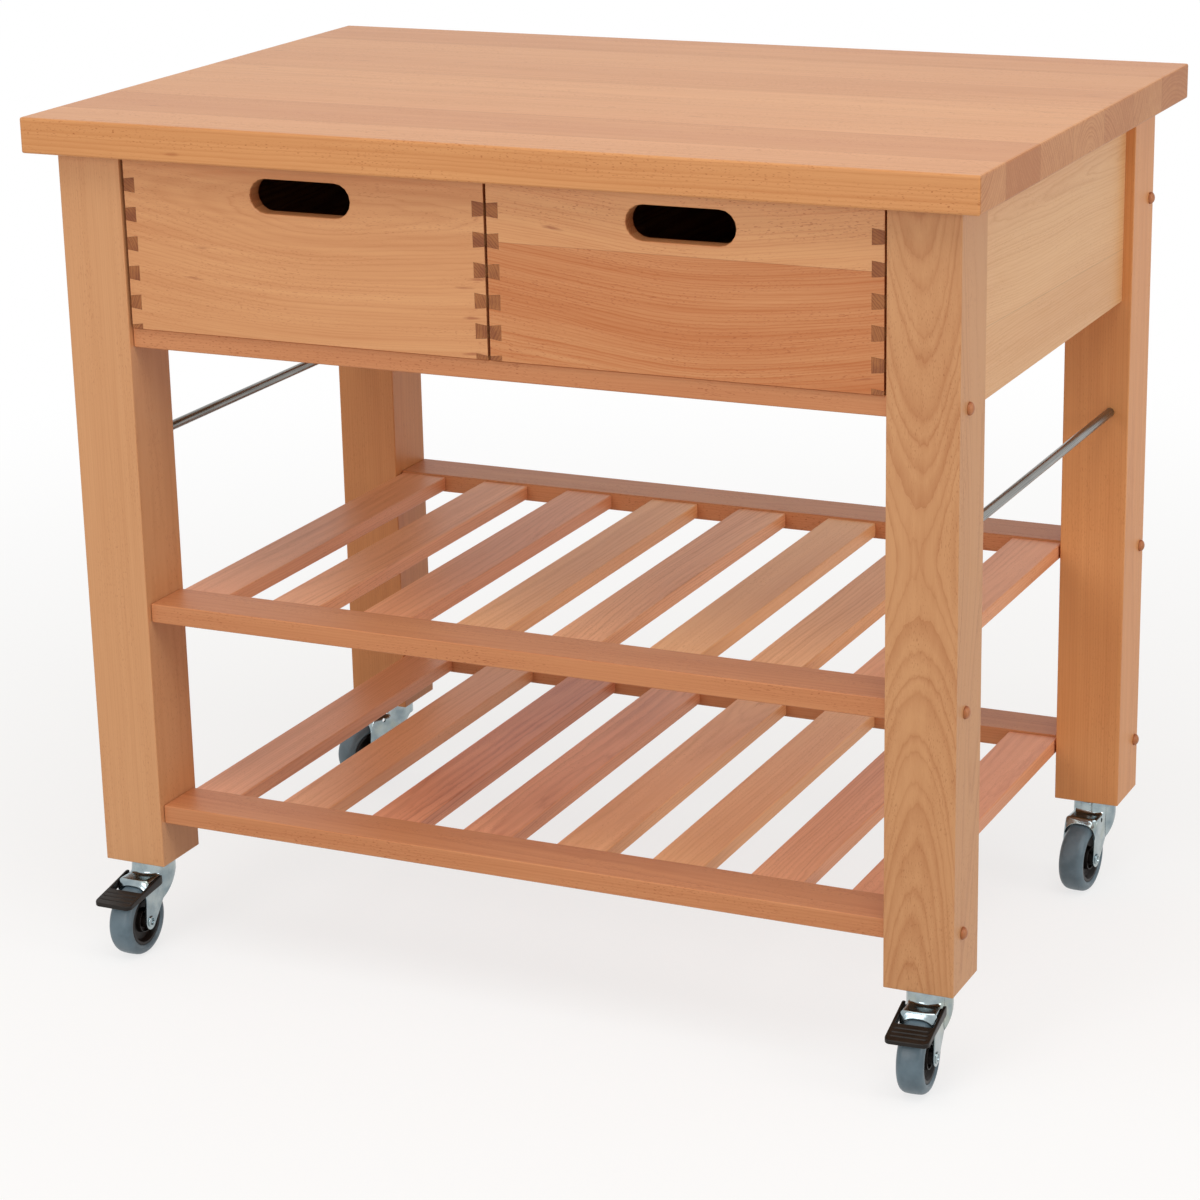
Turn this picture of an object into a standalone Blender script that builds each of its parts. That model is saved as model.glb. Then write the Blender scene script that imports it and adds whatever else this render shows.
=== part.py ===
"""Kitchen trolley in solid beech.

A thick worktop stands on four square legs. Two through-dovetailed drawers run under it
on wooden runners, two slatted shelves tie the legs together, a steel towel rod spans each
end, and four swivel casters carry it, the front two with a brake pedal.

Metres, +Z up. The origin is on the floor under the middle of the trolley's outline,
+X runs to the right along the front and +Y runs to the back.
"""
import math

import bmesh
import bpy
from mathutils import Matrix, Vector

# Gap kept between pieces that seat on each other, and the eased edge of the boards
CLEARANCE = 0.0003
EASED_EDGE = 0.0010

# Worktop
TOP_WIDTH = 1.000
TOP_DEPTH = 0.672
TOP_THICKNESS = 0.036
SIDE_OVERHANG = 0.025
FRONT_OVERHANG = 0.026
BACK_OVERHANG = 0.032

# Legs, and the counterbored bolt holes in their outer faces
LEG_SIZE = 0.071
LEG_LENGTH = 0.760
BOLT_HOLE_DIAMETER = 0.010
BOLT_HOLE_DEPTH = 0.008
BOLT_HOLE_SIDES = 12
FRONT_BOLT_INSET = 0.025
REAR_BOLT_INSET = 0.012

# Drawer case: panels, drawer rail and runners
DRAWER_OPENING = 0.177
RAIL_THICKNESS = 0.020
RAIL_RECESS = 0.0065
PANEL_THICKNESS = 0.020
PANEL_DROP = 0.001
SIDE_PANEL_RECESS = 0.010
BACK_PANEL_RECESS = 0.002
RUNNER_RISE = 0.0005
RUNNER_BEARING = 0.002
RUNNER_THICKNESS = 0.020
CENTRE_RUNNER_WIDTH = 0.060
GUIDE_HEIGHT = 0.030
GUIDE_GAP = 0.0006

# Drawers
DRAWER_GAP = 0.003
DRAWER_TOP_GAP = 0.002
DRAWER_RECESS = 0.003
DRAWER_BACK_ROOM = 0.012
FRONT_THICKNESS = 0.018
BACK_THICKNESS = 0.014
SIDE_THICKNESS = 0.012
BOTTOM_THICKNESS = 0.006
BOTTOM_RISE = 0.011
GROOVE_DEPTH = 0.005

# Hand slot in each drawer front
SLOT_WIDTH = 0.111
SLOT_HEIGHT = 0.034
SLOT_DROP = 0.0137
SLOT_ROUNDING = 0.0016
SLOT_ARC_STEPS = 8

# Dovetails: a pin is widest at the inner line and narrows towards the drawer's end
PIN_PITCH = 0.0296
PIN_HEIGHT = 0.0152
PIN_TAPER = 0.0015
FIRST_PIN = -0.0023
PIN_CLEARANCE = 0.0002

# Shelves
SHELF_HEIGHTS = {"upper": 0.391, "lower": 0.168}
SHELF_RAIL_DEPTH = 0.058
SLAT_COUNT = 8
SLAT_WIDTH = 0.056
SLAT_THICKNESS = 0.016
SLAT_DROP = 0.002
SLAT_END_GAP = 0.002
TENON_LENGTH = 0.012
TENON_SHOULDER = 0.004

# Towel rods
ROD_DIAMETER = 0.008
ROD_HEIGHT = 0.542
ROD_INSET = 0.020
ROD_SEAT = 0.015
ROD_SIDES = 14

# Casters: sizes along the trail are measured from the swivel axis, drops from the leg's end
CASTER_HEIGHT = 0.100
CASTER_TRAIL = 0.040
WHEEL_DROP = 0.025
STEM_DIAMETER = 0.012
STEM_LENGTH = 0.040
STEM_CHAMFER = 0.0015
FLANGE_DIAMETER = 0.038
KINGPIN_HEAD_DIAMETER = 0.020
KINGPIN_HEAD_THICKNESS = 0.0025
STEM_SIDES = 12

# Caster fork, pressed from one sheet: a round dome over the swivel, a lower crown and two cheeks
FORK_SHEET = 0.0022
FORK_WIDTH = 0.0365
FORK_CORNER = 0.0045
DOME_DIAMETER = 0.046
DOME_DROP = 0.003
DOME_REAR_ANGLE = math.radians(152)
DOME_FLARE = 0.0012
CROWN_DROP = 0.0168
LIP_START = 0.0385
LIP_RADIUS = 0.006
LIP_TURN = math.radians(68)
FORK_FRONT_LEAN = 0.0055
SKIRT_DROP = 0.0195
SKIRT_BREAK = -0.008
EYE_RADIUS = 0.0088
AXLE_DIAMETER = 0.008
AXLE_HEAD_DIAMETER = 0.013
AXLE_HEAD_THICKNESS = 0.003
AXLE_SIDES = 12
DOME_STEPS = 5
CROWN_STEPS = 4
CORNER_STEPS = 2
LIP_STEPS = 2
EYE_STEPS = 8

# Caster wheel: a grey tyre on a dark core
TYRE_WIDTH = 0.0276
TYRE_SHOULDER = 0.0075
TYRE_CROWN = 0.0007
TYRE_DEPTH = 0.011
CORE_WIDTH = 0.024
CORE_RIM = 0.0025
CORE_WEB = 0.012
HUB_DIAMETER = 0.019
HUB_SIDE_GAP = 0.0007
CORE_SIDES = 16
TYRE_SIDES = 24
TYRE_STEPS = 3

# Brake pedal, hinged on pins through the fork's cheeks, shown pressed down on the tyre
PEDAL_PIVOT_TRAIL = 0.027
PEDAL_PIVOT_DROP = 0.0045
PEDAL_PIN_DIAMETER = 0.004
PEDAL_PIN_SIDES = 10
PEDAL_REACH = 0.086
PEDAL_WIDTH = 0.044
PEDAL_SIDE_GAP = 0.0005
PEDAL_REAR = 0.0175
PEDAL_WINDOW_FRONT = 0.0575
PEDAL_CORNER = 0.006
PEDAL_CORNER_STEPS = 5
PEDAL_REAR_DROP = -0.0012
PEDAL_FRONT_DROP = 0.0120
PEDAL_REAR_DEPTH = 0.011
PEDAL_FRONT_DEPTH = 0.0045
PEDAL_PLATE = 0.004
PEDAL_FRONT_LIP = 0.003
SHOE_LENGTH = 0.0045
SHOE_GAP = 0.0005
TREAD_GROOVES = 3
TREAD_GROOVE_WIDTH = 0.0022
TREAD_GROOVE_DEPTH = 0.0009
TREAD_GROOVE_PITCH = 0.0065

# The way each caster trails on the floor, in degrees from +X, and which have a brake
TRAIL_DIRECTIONS = {"front_left": -90, "front_right": -86, "rear_left": -118, "rear_right": -94}
BRAKED_CASTERS = ("front_left", "front_right")

# How far a cutting shape runs past the face that it opens
PAST_FACE = 0.004

# Faces that meet at less than the first angle are shaded smooth, edges sharper than the second are eased
SMOOTH_ANGLE = math.radians(35)
ARRIS_ANGLE = math.radians(40)

# Heights and places worked out from the sizes above
UNDERSIDE = CASTER_HEIGHT + LEG_LENGTH
LEG_X = TOP_WIDTH / 2 - SIDE_OVERHANG - LEG_SIZE / 2
FRONT_LEG_Y = -TOP_DEPTH / 2 + FRONT_OVERHANG + LEG_SIZE / 2
REAR_LEG_Y = TOP_DEPTH / 2 - BACK_OVERHANG - LEG_SIZE / 2
INNER_X = LEG_X - LEG_SIZE / 2
OUTER_X = LEG_X + LEG_SIZE / 2
LEGS_FRONT_Y = FRONT_LEG_Y - LEG_SIZE / 2
LEGS_BACK_Y = REAR_LEG_Y + LEG_SIZE / 2
SPAN_FRONT_Y = FRONT_LEG_Y + LEG_SIZE / 2
SPAN_BACK_Y = REAR_LEG_Y - LEG_SIZE / 2
LEG_PLACES = {
    "front_left": (-LEG_X, FRONT_LEG_Y),
    "front_right": (LEG_X, FRONT_LEG_Y),
    "rear_left": (-LEG_X, REAR_LEG_Y),
    "rear_right": (LEG_X, REAR_LEG_Y),
}
DRAWER_RAIL_TOP = UNDERSIDE - DRAWER_OPENING
PANEL_BOTTOM = DRAWER_RAIL_TOP - RAIL_THICKNESS - PANEL_DROP
RUNNER_TOP = DRAWER_RAIL_TOP + RUNNER_RISE
BACK_PANEL_BACK = LEGS_BACK_Y - BACK_PANEL_RECESS
BACK_PANEL_FRONT = BACK_PANEL_BACK - PANEL_THICKNESS
ROD_X = OUTER_X - ROD_INSET
DRAWER_BASE = RUNNER_TOP + CLEARANCE
DRAWER_HEIGHT = UNDERSIDE - DRAWER_TOP_GAP - DRAWER_BASE
DRAWER_FACE_Y = LEGS_FRONT_Y + DRAWER_RECESS
DRAWER_DEPTH = BACK_PANEL_FRONT - DRAWER_BACK_ROOM - DRAWER_FACE_Y
DRAWER_WIDTH = INNER_X - DRAWER_GAP - DRAWER_GAP / 2
WHEEL_DIAMETER = CASTER_HEIGHT - WHEEL_DROP
CORE_DIAMETER = WHEEL_DIAMETER - 2 * TYRE_DEPTH
AXLE_HEIGHT = WHEEL_DIAMETER / 2
DOME_TOP = CASTER_HEIGHT - DOME_DROP
CROWN_TOP = CASTER_HEIGHT - CROWN_DROP
FORK_INNER_HALF = FORK_WIDTH / 2 - FORK_SHEET
PEDAL_PIVOT_HEIGHT = CROWN_TOP - PEDAL_PIVOT_DROP


def srgb(red, green, blue):
    """An 8-bit display colour as the linear colour that a shader takes."""
    shares = [value / 255 for value in (red, green, blue)]
    linear = [s / 12.92 if s <= 0.04045 else ((s + 0.055) / 1.055) ** 2.4 for s in shares]
    return (*linear, 1.0)


def material(name, colour, roughness, metallic=0.0):
    """A Principled material of one colour."""
    made = bpy.data.materials.new(name)
    made.use_nodes = True
    shader = made.node_tree.nodes["Principled BSDF"]
    shader.inputs["Base Color"].default_value = srgb(*colour)
    shader.inputs["Roughness"].default_value = roughness
    shader.inputs["Metallic"].default_value = metallic
    made.diffuse_color = srgb(*colour)
    return made


def make_materials():
    """Every finish of the trolley, by name."""
    return {
        "worktop": material("beech_worktop", (216, 170, 128), 0.42),
        "leg": material("beech_leg", (204, 152, 106), 0.45),
        "panel": material("beech_panel", (218, 166, 116), 0.45),
        "rail": material("beech_rail", (200, 132, 88), 0.48),
        "slat": material("beech_slat", (182, 120, 86), 0.50),
        "front": material("beech_drawer_front", (214, 158, 108), 0.42),
        "side": material("beech_drawer_side", (166, 110, 72), 0.52),
        "bottom": material("plywood_drawer_bottom", (206, 172, 128), 0.60),
        "rod": material("satin_steel", (150, 150, 148), 0.28, 1.0),
        "zinc": material("zinc_plated_steel", (176, 190, 192), 0.30, 1.0),
        "tyre": material("grey_tyre", (118, 132, 142), 0.55),
        "core": material("dark_wheel_core", (38, 30, 28), 0.50),
        "pedal": material("dark_pedal", (40, 34, 30), 0.45),
    }


def finish(shape, name, finish_material, parent, location=(0, 0, 0), smooth_angle=None):
    """Turn a bmesh into a named object, shaded smooth where it is round."""
    bmesh.ops.recalc_face_normals(shape, faces=shape.faces)
    mesh = bpy.data.meshes.new(name)
    shape.to_mesh(mesh)
    shape.free()
    if smooth_angle is not None:
        mesh.shade_smooth()
        mesh.set_sharp_from_angle(angle=smooth_angle)
    if finish_material is not None:
        mesh.materials.append(finish_material)
    made = bpy.data.objects.new(name, mesh)
    made.parent = parent
    made.location = location
    bpy.context.collection.objects.link(made)
    return made


def empty(name, parent, location=(0, 0, 0), turn=0.0):
    """A named axis or group that pieces are parented to."""
    made = bpy.data.objects.new(name, None)
    made.parent = parent
    made.location = location
    made.rotation_euler = (0, 0, turn)
    bpy.context.collection.objects.link(made)
    return made


def cutter(shape, name, parent, location=(0, 0, 0)):
    """A shape that only trims or bores other pieces."""
    made = finish(shape, name, None, parent, location)
    made.hide_render = True
    made.display_type = "WIRE"
    return made


def combine(target, tool, operation):
    """Cut, trim or join a piece with another shape."""
    step = target.modifiers.new(tool.name, "BOOLEAN")
    step.solver = "EXACT"
    step.operation = operation
    step.object = tool


def ease_edges(target, width, segments):
    """Round the arrises of a board."""
    step = target.modifiers.new("eased_edges", "BEVEL")
    step.width = width
    step.segments = segments
    step.limit_method = "ANGLE"
    step.angle_limit = ARRIS_ANGLE


def add_block(shape, low, high):
    """Add a box between two corners."""
    size = [h - l for l, h in zip(low, high)]
    middle = [(h + l) / 2 for l, h in zip(low, high)]
    matrix = Matrix.Translation(middle) @ Matrix.Diagonal((*size, 1))
    return bmesh.ops.create_cube(shape, size=1.0, matrix=matrix)["verts"]


def add_bar(shape, start, direction, length, diameter, sides):
    """Add a round bar that runs from a point along a direction."""
    along = Vector(direction).normalized()
    turn = along.to_track_quat("Z", "Y").to_matrix().to_4x4()
    matrix = Matrix.Translation(Vector(start) + along * length / 2) @ turn
    bmesh.ops.create_cone(shape, cap_ends=True, segments=sides, depth=length,
                          radius1=diameter / 2, radius2=diameter / 2, matrix=matrix)


def prism(outline, axis, low, high):
    """Extrude a closed outline along an axis. The outline is (x, y), (x, z) or (y, z)."""
    at = {"Z": lambda u, v: (u, v, low), "Y": lambda u, v: (u, low, v), "X": lambda u, v: (low, u, v)}
    along = {"X": Vector((1, 0, 0)), "Y": Vector((0, 1, 0)), "Z": Vector((0, 0, 1))}[axis]
    shape = bmesh.new()
    face = shape.faces.new([shape.verts.new(at[axis](u, v)) for u, v in outline])
    grown = bmesh.ops.extrude_face_region(shape, geom=[face])["geom"]
    moved = [item for item in grown if isinstance(item, bmesh.types.BMVert)]
    bmesh.ops.translate(shape, verts=moved, vec=along * (high - low))
    return shape


def turned(profile, sides, closed, about="Z"):
    """Spin a profile of (radius, height) points; a closed profile makes a ring."""
    shape = bmesh.new()
    points = [shape.verts.new((radius, 0, height)) for radius, height in profile]
    pairs = list(zip(points, points[1:]))
    if closed:
        pairs.append((points[-1], points[0]))
    edges = [shape.edges.new(pair) for pair in pairs]
    bmesh.ops.spin(shape, geom=points + edges, axis=(0, 0, 1), cent=(0, 0, 0),
                   angle=math.tau, steps=sides, use_merge=True)
    bmesh.ops.remove_doubles(shape, verts=shape.verts, dist=1e-6)
    if about == "Y":
        upright = Matrix.Rotation(math.pi / 2, 3, "X")
        bmesh.ops.rotate(shape, verts=shape.verts, cent=(0, 0, 0), matrix=upright)
    return shape


def skinned(rings):
    """Join closed rings of points, one after the other, and cap both ends."""
    shape = bmesh.new()
    rows = [[shape.verts.new(point) for point in ring] for ring in rings]
    count = len(rows[0])
    for row, following in zip(rows, rows[1:]):
        for i in range(count):
            j = (i + 1) % count
            shape.faces.new((row[i], row[j], following[j], following[i]))
    shape.faces.new(rows[0])
    shape.faces.new(rows[-1])
    return shape


def arc(centre, radius, start, end, steps):
    """Points on a circle from one angle to another, ends included."""
    angles = [start + (end - start) * i / steps for i in range(steps + 1)]
    return [(centre[0] + radius * math.cos(a), centre[1] + radius * math.sin(a)) for a in angles]


def board(name, low, high, finish_material, parent, ease=EASED_EDGE, segments=1):
    """A rectangular board between two corners, with eased edges and its origin in its middle."""
    middle = [(h + l) / 2 for l, h in zip(low, high)]
    half = [(h - l) / 2 for l, h in zip(low, high)]
    shape = bmesh.new()
    add_block(shape, [-size for size in half], half)
    made = finish(shape, name, finish_material, parent, middle)
    ease_edges(made, ease, segments)
    return made


def make_worktop(finishes, root):
    """The solid top, resting on the legs and the case."""
    low = (-TOP_WIDTH / 2, -TOP_DEPTH / 2, UNDERSIDE)
    high = (TOP_WIDTH / 2, TOP_DEPTH / 2, UNDERSIDE + TOP_THICKNESS)
    board("worktop", low, high, finishes["worktop"], root, 2 * EASED_EDGE, 2)


def leg_drillings(place, x, y, root):
    """Holes of one leg: the caster's stem, the towel rod's seat and three bolt counterbores."""
    side = math.copysign(1, x)
    is_front = place.startswith("front")
    shape = bmesh.new()
    add_bar(shape, (x, y, CASTER_HEIGHT - PAST_FACE), (0, 0, 1), STEM_LENGTH + 2 * PAST_FACE,
            STEM_DIAMETER + 2 * CLEARANCE, STEM_SIDES)
    mouth_y = SPAN_FRONT_Y + PAST_FACE if is_front else SPAN_BACK_Y - PAST_FACE
    add_bar(shape, (side * ROD_X, mouth_y, ROD_HEIGHT), (0, -1 if is_front else 1, 0),
            ROD_SEAT + CLEARANCE + PAST_FACE, ROD_DIAMETER + 2 * CLEARANCE, ROD_SIDES)
    bolt_y = LEGS_FRONT_Y + FRONT_BOLT_INSET if is_front else LEGS_BACK_Y - REAR_BOLT_INSET
    case_bolt = DRAWER_RAIL_TOP - RAIL_THICKNESS / 2 if is_front else (UNDERSIDE + PANEL_BOTTOM) / 2
    bolt_heights = [case_bolt] + [height - RAIL_THICKNESS / 2 for height in SHELF_HEIGHTS.values()]
    for height in bolt_heights:
        add_bar(shape, (side * (OUTER_X + PAST_FACE), bolt_y, height), (-side, 0, 0),
                BOLT_HOLE_DEPTH + PAST_FACE, BOLT_HOLE_DIAMETER, BOLT_HOLE_SIDES)
    return cutter(shape, "drillings_" + place, root)


def make_legs(finishes, root):
    """Four square legs, bored for the casters, the towel rods and the bolts."""
    half = LEG_SIZE / 2
    for place, (x, y) in LEG_PLACES.items():
        low = (x - half, y - half, CASTER_HEIGHT)
        high = (x + half, y + half, UNDERSIDE - CLEARANCE)
        leg = board("leg_" + place, low, high, finishes["leg"], root, EASED_EDGE, 2)
        combine(leg, leg_drillings(place, x, y, root), "DIFFERENCE")


def make_side_panels(finishes, root):
    """The case's ends. Each carries its drawer's runner and the guide that keeps it straight."""
    outer = OUTER_X - SIDE_PANEL_RECESS
    inner = outer - PANEL_THICKNESS
    drawer_outer = INNER_X - DRAWER_GAP
    ledge = drawer_outer - SIDE_THICKNESS - RUNNER_BEARING
    guide = drawer_outer + GUIDE_GAP
    top = UNDERSIDE - CLEARANCE
    section = [
        (outer, top), (outer, PANEL_BOTTOM), (ledge, PANEL_BOTTOM), (ledge, RUNNER_TOP),
        (guide, RUNNER_TOP), (guide, RUNNER_TOP + GUIDE_HEIGHT), (inner, RUNNER_TOP + GUIDE_HEIGHT),
        (inner, top),
    ]
    for side, sign in (("left", -1), ("right", 1)):
        outline = [(sign * x, z) for x, z in section]
        shape = prism(outline, "Y", SPAN_FRONT_Y + CLEARANCE, SPAN_BACK_Y - CLEARANCE)
        panel = finish(shape, "side_panel_" + side, finishes["panel"], root)
        ease_edges(panel, EASED_EDGE / 2, 1)


def make_case(finishes, root):
    """The back panel, the rail under the drawers and the runner between them."""
    reach = INNER_X - CLEARANCE
    board("back_panel", (-reach, BACK_PANEL_FRONT, PANEL_BOTTOM),
          (reach, BACK_PANEL_BACK, UNDERSIDE - CLEARANCE), finishes["panel"], root)
    board("drawer_rail", (-reach, LEGS_FRONT_Y + RAIL_RECESS, DRAWER_RAIL_TOP - RAIL_THICKNESS),
          (reach, SPAN_FRONT_Y, DRAWER_RAIL_TOP), finishes["rail"], root)
    half = CENTRE_RUNNER_WIDTH / 2
    board("centre_runner", (-half, SPAN_FRONT_Y + CLEARANCE, RUNNER_TOP - RUNNER_THICKNESS),
          (half, BACK_PANEL_FRONT - CLEARANCE, RUNNER_TOP), finishes["rail"], root)


def pin_cuts(height):
    """Each pin's lower and upper cut, as (height at the inner line, height at the drawer's end)."""
    cuts = []
    middle = FIRST_PIN
    while middle + PIN_HEIGHT < height:
        low, high = middle - PIN_HEIGHT / 2, middle + PIN_HEIGHT / 2
        lower = (max(low, 0), max(low + PIN_TAPER, 0))
        cuts.append((lower, (high, high - PIN_TAPER)))
        middle += PIN_PITCH
    return cuts


def tail_board_outline(width, height):
    """A drawer front or back seen square on: sockets for the pins at both ends."""
    end = width / 2
    line = end - SIDE_THICKNESS - PIN_CLEARANCE
    chain = []
    for (low_in, low_end), (high_in, high_end) in pin_cuts(height):
        starts_at_edge = low_in == 0
        if not starts_at_edge:
            chain.append((end, low_end - PIN_CLEARANCE))
        chain.append((line, 0 if starts_at_edge else low_in - PIN_CLEARANCE))
        chain.append((line, high_in + PIN_CLEARANCE))
        chain.append((end, high_end + PIN_CLEARANCE))
    if chain[0][0] == end:
        chain.insert(0, (end, 0))
    chain.append((end, height))
    return chain + [(-x, z) for x, z in reversed(chain)]


def pin_board(inner_length, height, toward_end):
    """A drawer side: a board from shoulder to shoulder with pins run out through front and back."""
    levels = [((0, 0), None)]
    for lower, upper in pin_cuts(height):
        if lower[0] > 0:
            levels.append((lower, "tail"))
        levels.append((upper, "pin"))
    levels.append(((height, height), "tail"))
    shape = bmesh.new()
    rows = [[shape.verts.new((0, 0, z_in)), shape.verts.new((toward_end * SIDE_THICKNESS, 0, z_end))]
            for (z_in, z_end), _ in levels]
    strip = [shape.faces.new((rows[i][0], rows[i][1], rows[i + 1][1], rows[i + 1][0]))
             for i in range(len(rows) - 1)]
    front_pins = [face for face, (_, kind) in zip(strip, levels[1:]) if kind == "pin"]
    grown = bmesh.ops.extrude_face_region(shape, geom=strip)["geom"]
    moved = [item for item in grown if isinstance(item, bmesh.types.BMVert)]
    back_strip = [item for item in grown if isinstance(item, bmesh.types.BMFace)]
    bmesh.ops.translate(shape, verts=moved, vec=(0, inner_length, 0))
    pin_middles = [face.calc_center_median().z for face in front_pins]
    back_pins = [face for face in back_strip
                 if any(abs(face.calc_center_median().z - z) < PIN_CLEARANCE for z in pin_middles)]
    for pins, run in ((front_pins, -FRONT_THICKNESS - CLEARANCE), (back_pins, BACK_THICKNESS + CLEARANCE)):
        ends = bmesh.ops.extrude_discrete_faces(shape, faces=pins)["faces"]
        corners = list({corner for face in ends for corner in face.verts})
        bmesh.ops.translate(shape, verts=corners, vec=(0, run, 0))
    return shape


def slot_cutter(name, parent):
    """The hand slot: a long round-ended hole whose mouths are rounded over on both faces."""
    straight = (SLOT_WIDTH - SLOT_HEIGHT) / 2
    middle = DRAWER_HEIGHT - SLOT_DROP - SLOT_HEIGHT / 2
    quarter = math.pi / 2

    def ring(y, growth):
        radius = SLOT_HEIGHT / 2 + growth
        right = arc((straight, middle), radius, -quarter, quarter, SLOT_ARC_STEPS)
        left = arc((-straight, middle), radius, quarter, 3 * quarter, SLOT_ARC_STEPS)
        return [(x, y, z) for x, z in right + left]

    mouth = SLOT_ROUNDING
    softened = mouth * (1 - math.cos(math.pi / 4))
    eased = mouth * (1 - math.sin(math.pi / 4))
    rings = [
        ring(-PAST_FACE, mouth), ring(0, mouth), ring(eased, softened), ring(mouth, 0),
        ring(FRONT_THICKNESS - mouth, 0), ring(FRONT_THICKNESS - eased, softened),
        ring(FRONT_THICKNESS, mouth), ring(FRONT_THICKNESS + PAST_FACE, mouth),
    ]
    return cutter(skinned(rings), name, parent)


def make_drawer(side, middle_x, finishes, root):
    """A drawer: tailed front and back, pinned sides, and a bottom let into grooves all round."""
    drawer = empty("drawer_" + side, root, (middle_x, DRAWER_FACE_Y, DRAWER_BASE))
    outline = tail_board_outline(DRAWER_WIDTH, DRAWER_HEIGHT)
    back_y = DRAWER_DEPTH - BACK_THICKNESS
    front_shape = prism(outline, "Y", 0, FRONT_THICKNESS)
    front = finish(front_shape, f"drawer_{side}_front", finishes["front"], drawer)
    back_shape = prism(outline, "Y", back_y, DRAWER_DEPTH)
    back = finish(back_shape, f"drawer_{side}_back", finishes["front"], drawer)
    shoulder = FRONT_THICKNESS + CLEARANCE
    inner_length = back_y - CLEARANCE - shoulder
    inner_x = DRAWER_WIDTH / 2 - SIDE_THICKNESS
    sides = []
    for hand, sign in (("left", -1), ("right", 1)):
        shape = pin_board(inner_length, DRAWER_HEIGHT, sign)
        name = f"drawer_{side}_side_{hand}"
        sides.append(finish(shape, name, finishes["side"], drawer, (sign * inner_x, shoulder, 0)))
    reach_x = inner_x + GROOVE_DEPTH
    low = (-reach_x, FRONT_THICKNESS - GROOVE_DEPTH, BOTTOM_RISE)
    high = (reach_x, back_y + GROOVE_DEPTH, BOTTOM_RISE + BOTTOM_THICKNESS)
    shape = bmesh.new()
    add_block(shape, low, high)
    finish(shape, f"drawer_{side}_bottom", finishes["bottom"], drawer)
    groove = bmesh.new()
    add_block(groove, [v - CLEARANCE for v in low], [v + CLEARANCE for v in high])
    grooves = cutter(groove, f"drawer_{side}_grooves", drawer)
    for piece in (front, back, *sides):
        combine(piece, grooves, "DIFFERENCE")
    combine(front, slot_cutter(f"drawer_{side}_slot", drawer), "DIFFERENCE")


def slat_places():
    """The middle of each slat along X, spread evenly between the legs."""
    first = -INNER_X + SLAT_END_GAP + SLAT_WIDTH / 2
    pitch = -2 * first / (SLAT_COUNT - 1)
    return [first + pitch * i for i in range(SLAT_COUNT)]


def slat_shape(length):
    """A slat with eased long edges and a stub tenon on each end."""
    shape = bmesh.new()
    add_block(shape, (-SLAT_WIDTH / 2, -length / 2, -SLAT_THICKNESS / 2),
              (SLAT_WIDTH / 2, length / 2, SLAT_THICKNESS / 2))
    shape.normal_update()
    ends = [face for face in shape.faces if abs(face.normal.y) > 0.9]
    bmesh.ops.inset_individual(shape, faces=ends, thickness=TENON_SHOULDER, use_even_offset=True)
    for face in ends:
        outward = math.copysign(TENON_LENGTH, face.calc_center_median().y)
        tip = bmesh.ops.extrude_discrete_faces(shape, faces=[face])["faces"][0]
        bmesh.ops.translate(shape, verts=tip.verts, vec=(0, outward, 0))
    long_edges = [edge for edge in shape.edges if edge.calc_length() > length / 2]
    bmesh.ops.bevel(shape, geom=long_edges, offset=EASED_EDGE, segments=1, profile=0.5, affect="EDGES")
    return shape


def make_shelf(level, top, finishes, root):
    """A shelf: front and back rails between the legs, mortised for eight slats."""
    front_low = LEGS_FRONT_Y + RAIL_RECESS
    front_high = front_low + SHELF_RAIL_DEPTH
    back_high = LEGS_BACK_Y
    back_low = back_high - SHELF_RAIL_DEPTH
    reach = INNER_X - CLEARANCE
    slat_z = top - SLAT_DROP - SLAT_THICKNESS / 2
    slat_length = back_low - front_high - 2 * CLEARANCE
    slat_y = (back_low + front_high) / 2
    half_w = SLAT_WIDTH / 2 - TENON_SHOULDER + CLEARANCE
    half_t = SLAT_THICKNESS / 2 - TENON_SHOULDER + CLEARANCE
    for end, low_y, high_y in (("front", front_low, front_high), ("back", back_low, back_high)):
        rail = board(f"{level}_shelf_{end}_rail", (-reach, low_y, top - RAIL_THICKNESS),
                     (reach, high_y, top), finishes["rail"], root)
        mouth = high_y if end == "front" else low_y
        inward = -1 if end == "front" else 1
        floor_y = mouth + inward * TENON_LENGTH
        outside = mouth - inward * PAST_FACE
        mortises = bmesh.new()
        for x in slat_places():
            add_block(mortises, (x - half_w, min(floor_y, outside), slat_z - half_t),
                      (x + half_w, max(floor_y, outside), slat_z + half_t))
        combine(rail, cutter(mortises, f"{level}_shelf_{end}_mortises", root), "DIFFERENCE")
    for i, x in enumerate(slat_places(), 1):
        name = f"{level}_shelf_slat_{i}"
        finish(slat_shape(slat_length), name, finishes["slat"], root, (x, slat_y, slat_z))


def make_towel_rods(finishes, root):
    """A steel rod at each end, seated in blind holes in the front and rear legs."""
    length = SPAN_BACK_Y - SPAN_FRONT_Y + 2 * ROD_SEAT
    for side, sign in (("left", -1), ("right", 1)):
        shape = bmesh.new()
        add_bar(shape, (0, -length / 2, 0), (0, 1, 0), length, ROD_DIAMETER, ROD_SIDES)
        middle = (sign * ROD_X, (SPAN_FRONT_Y + SPAN_BACK_Y) / 2, ROD_HEIGHT)
        finish(shape, "towel_rod_" + side, finishes["rod"], root, middle, SMOOTH_ANGLE)


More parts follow.
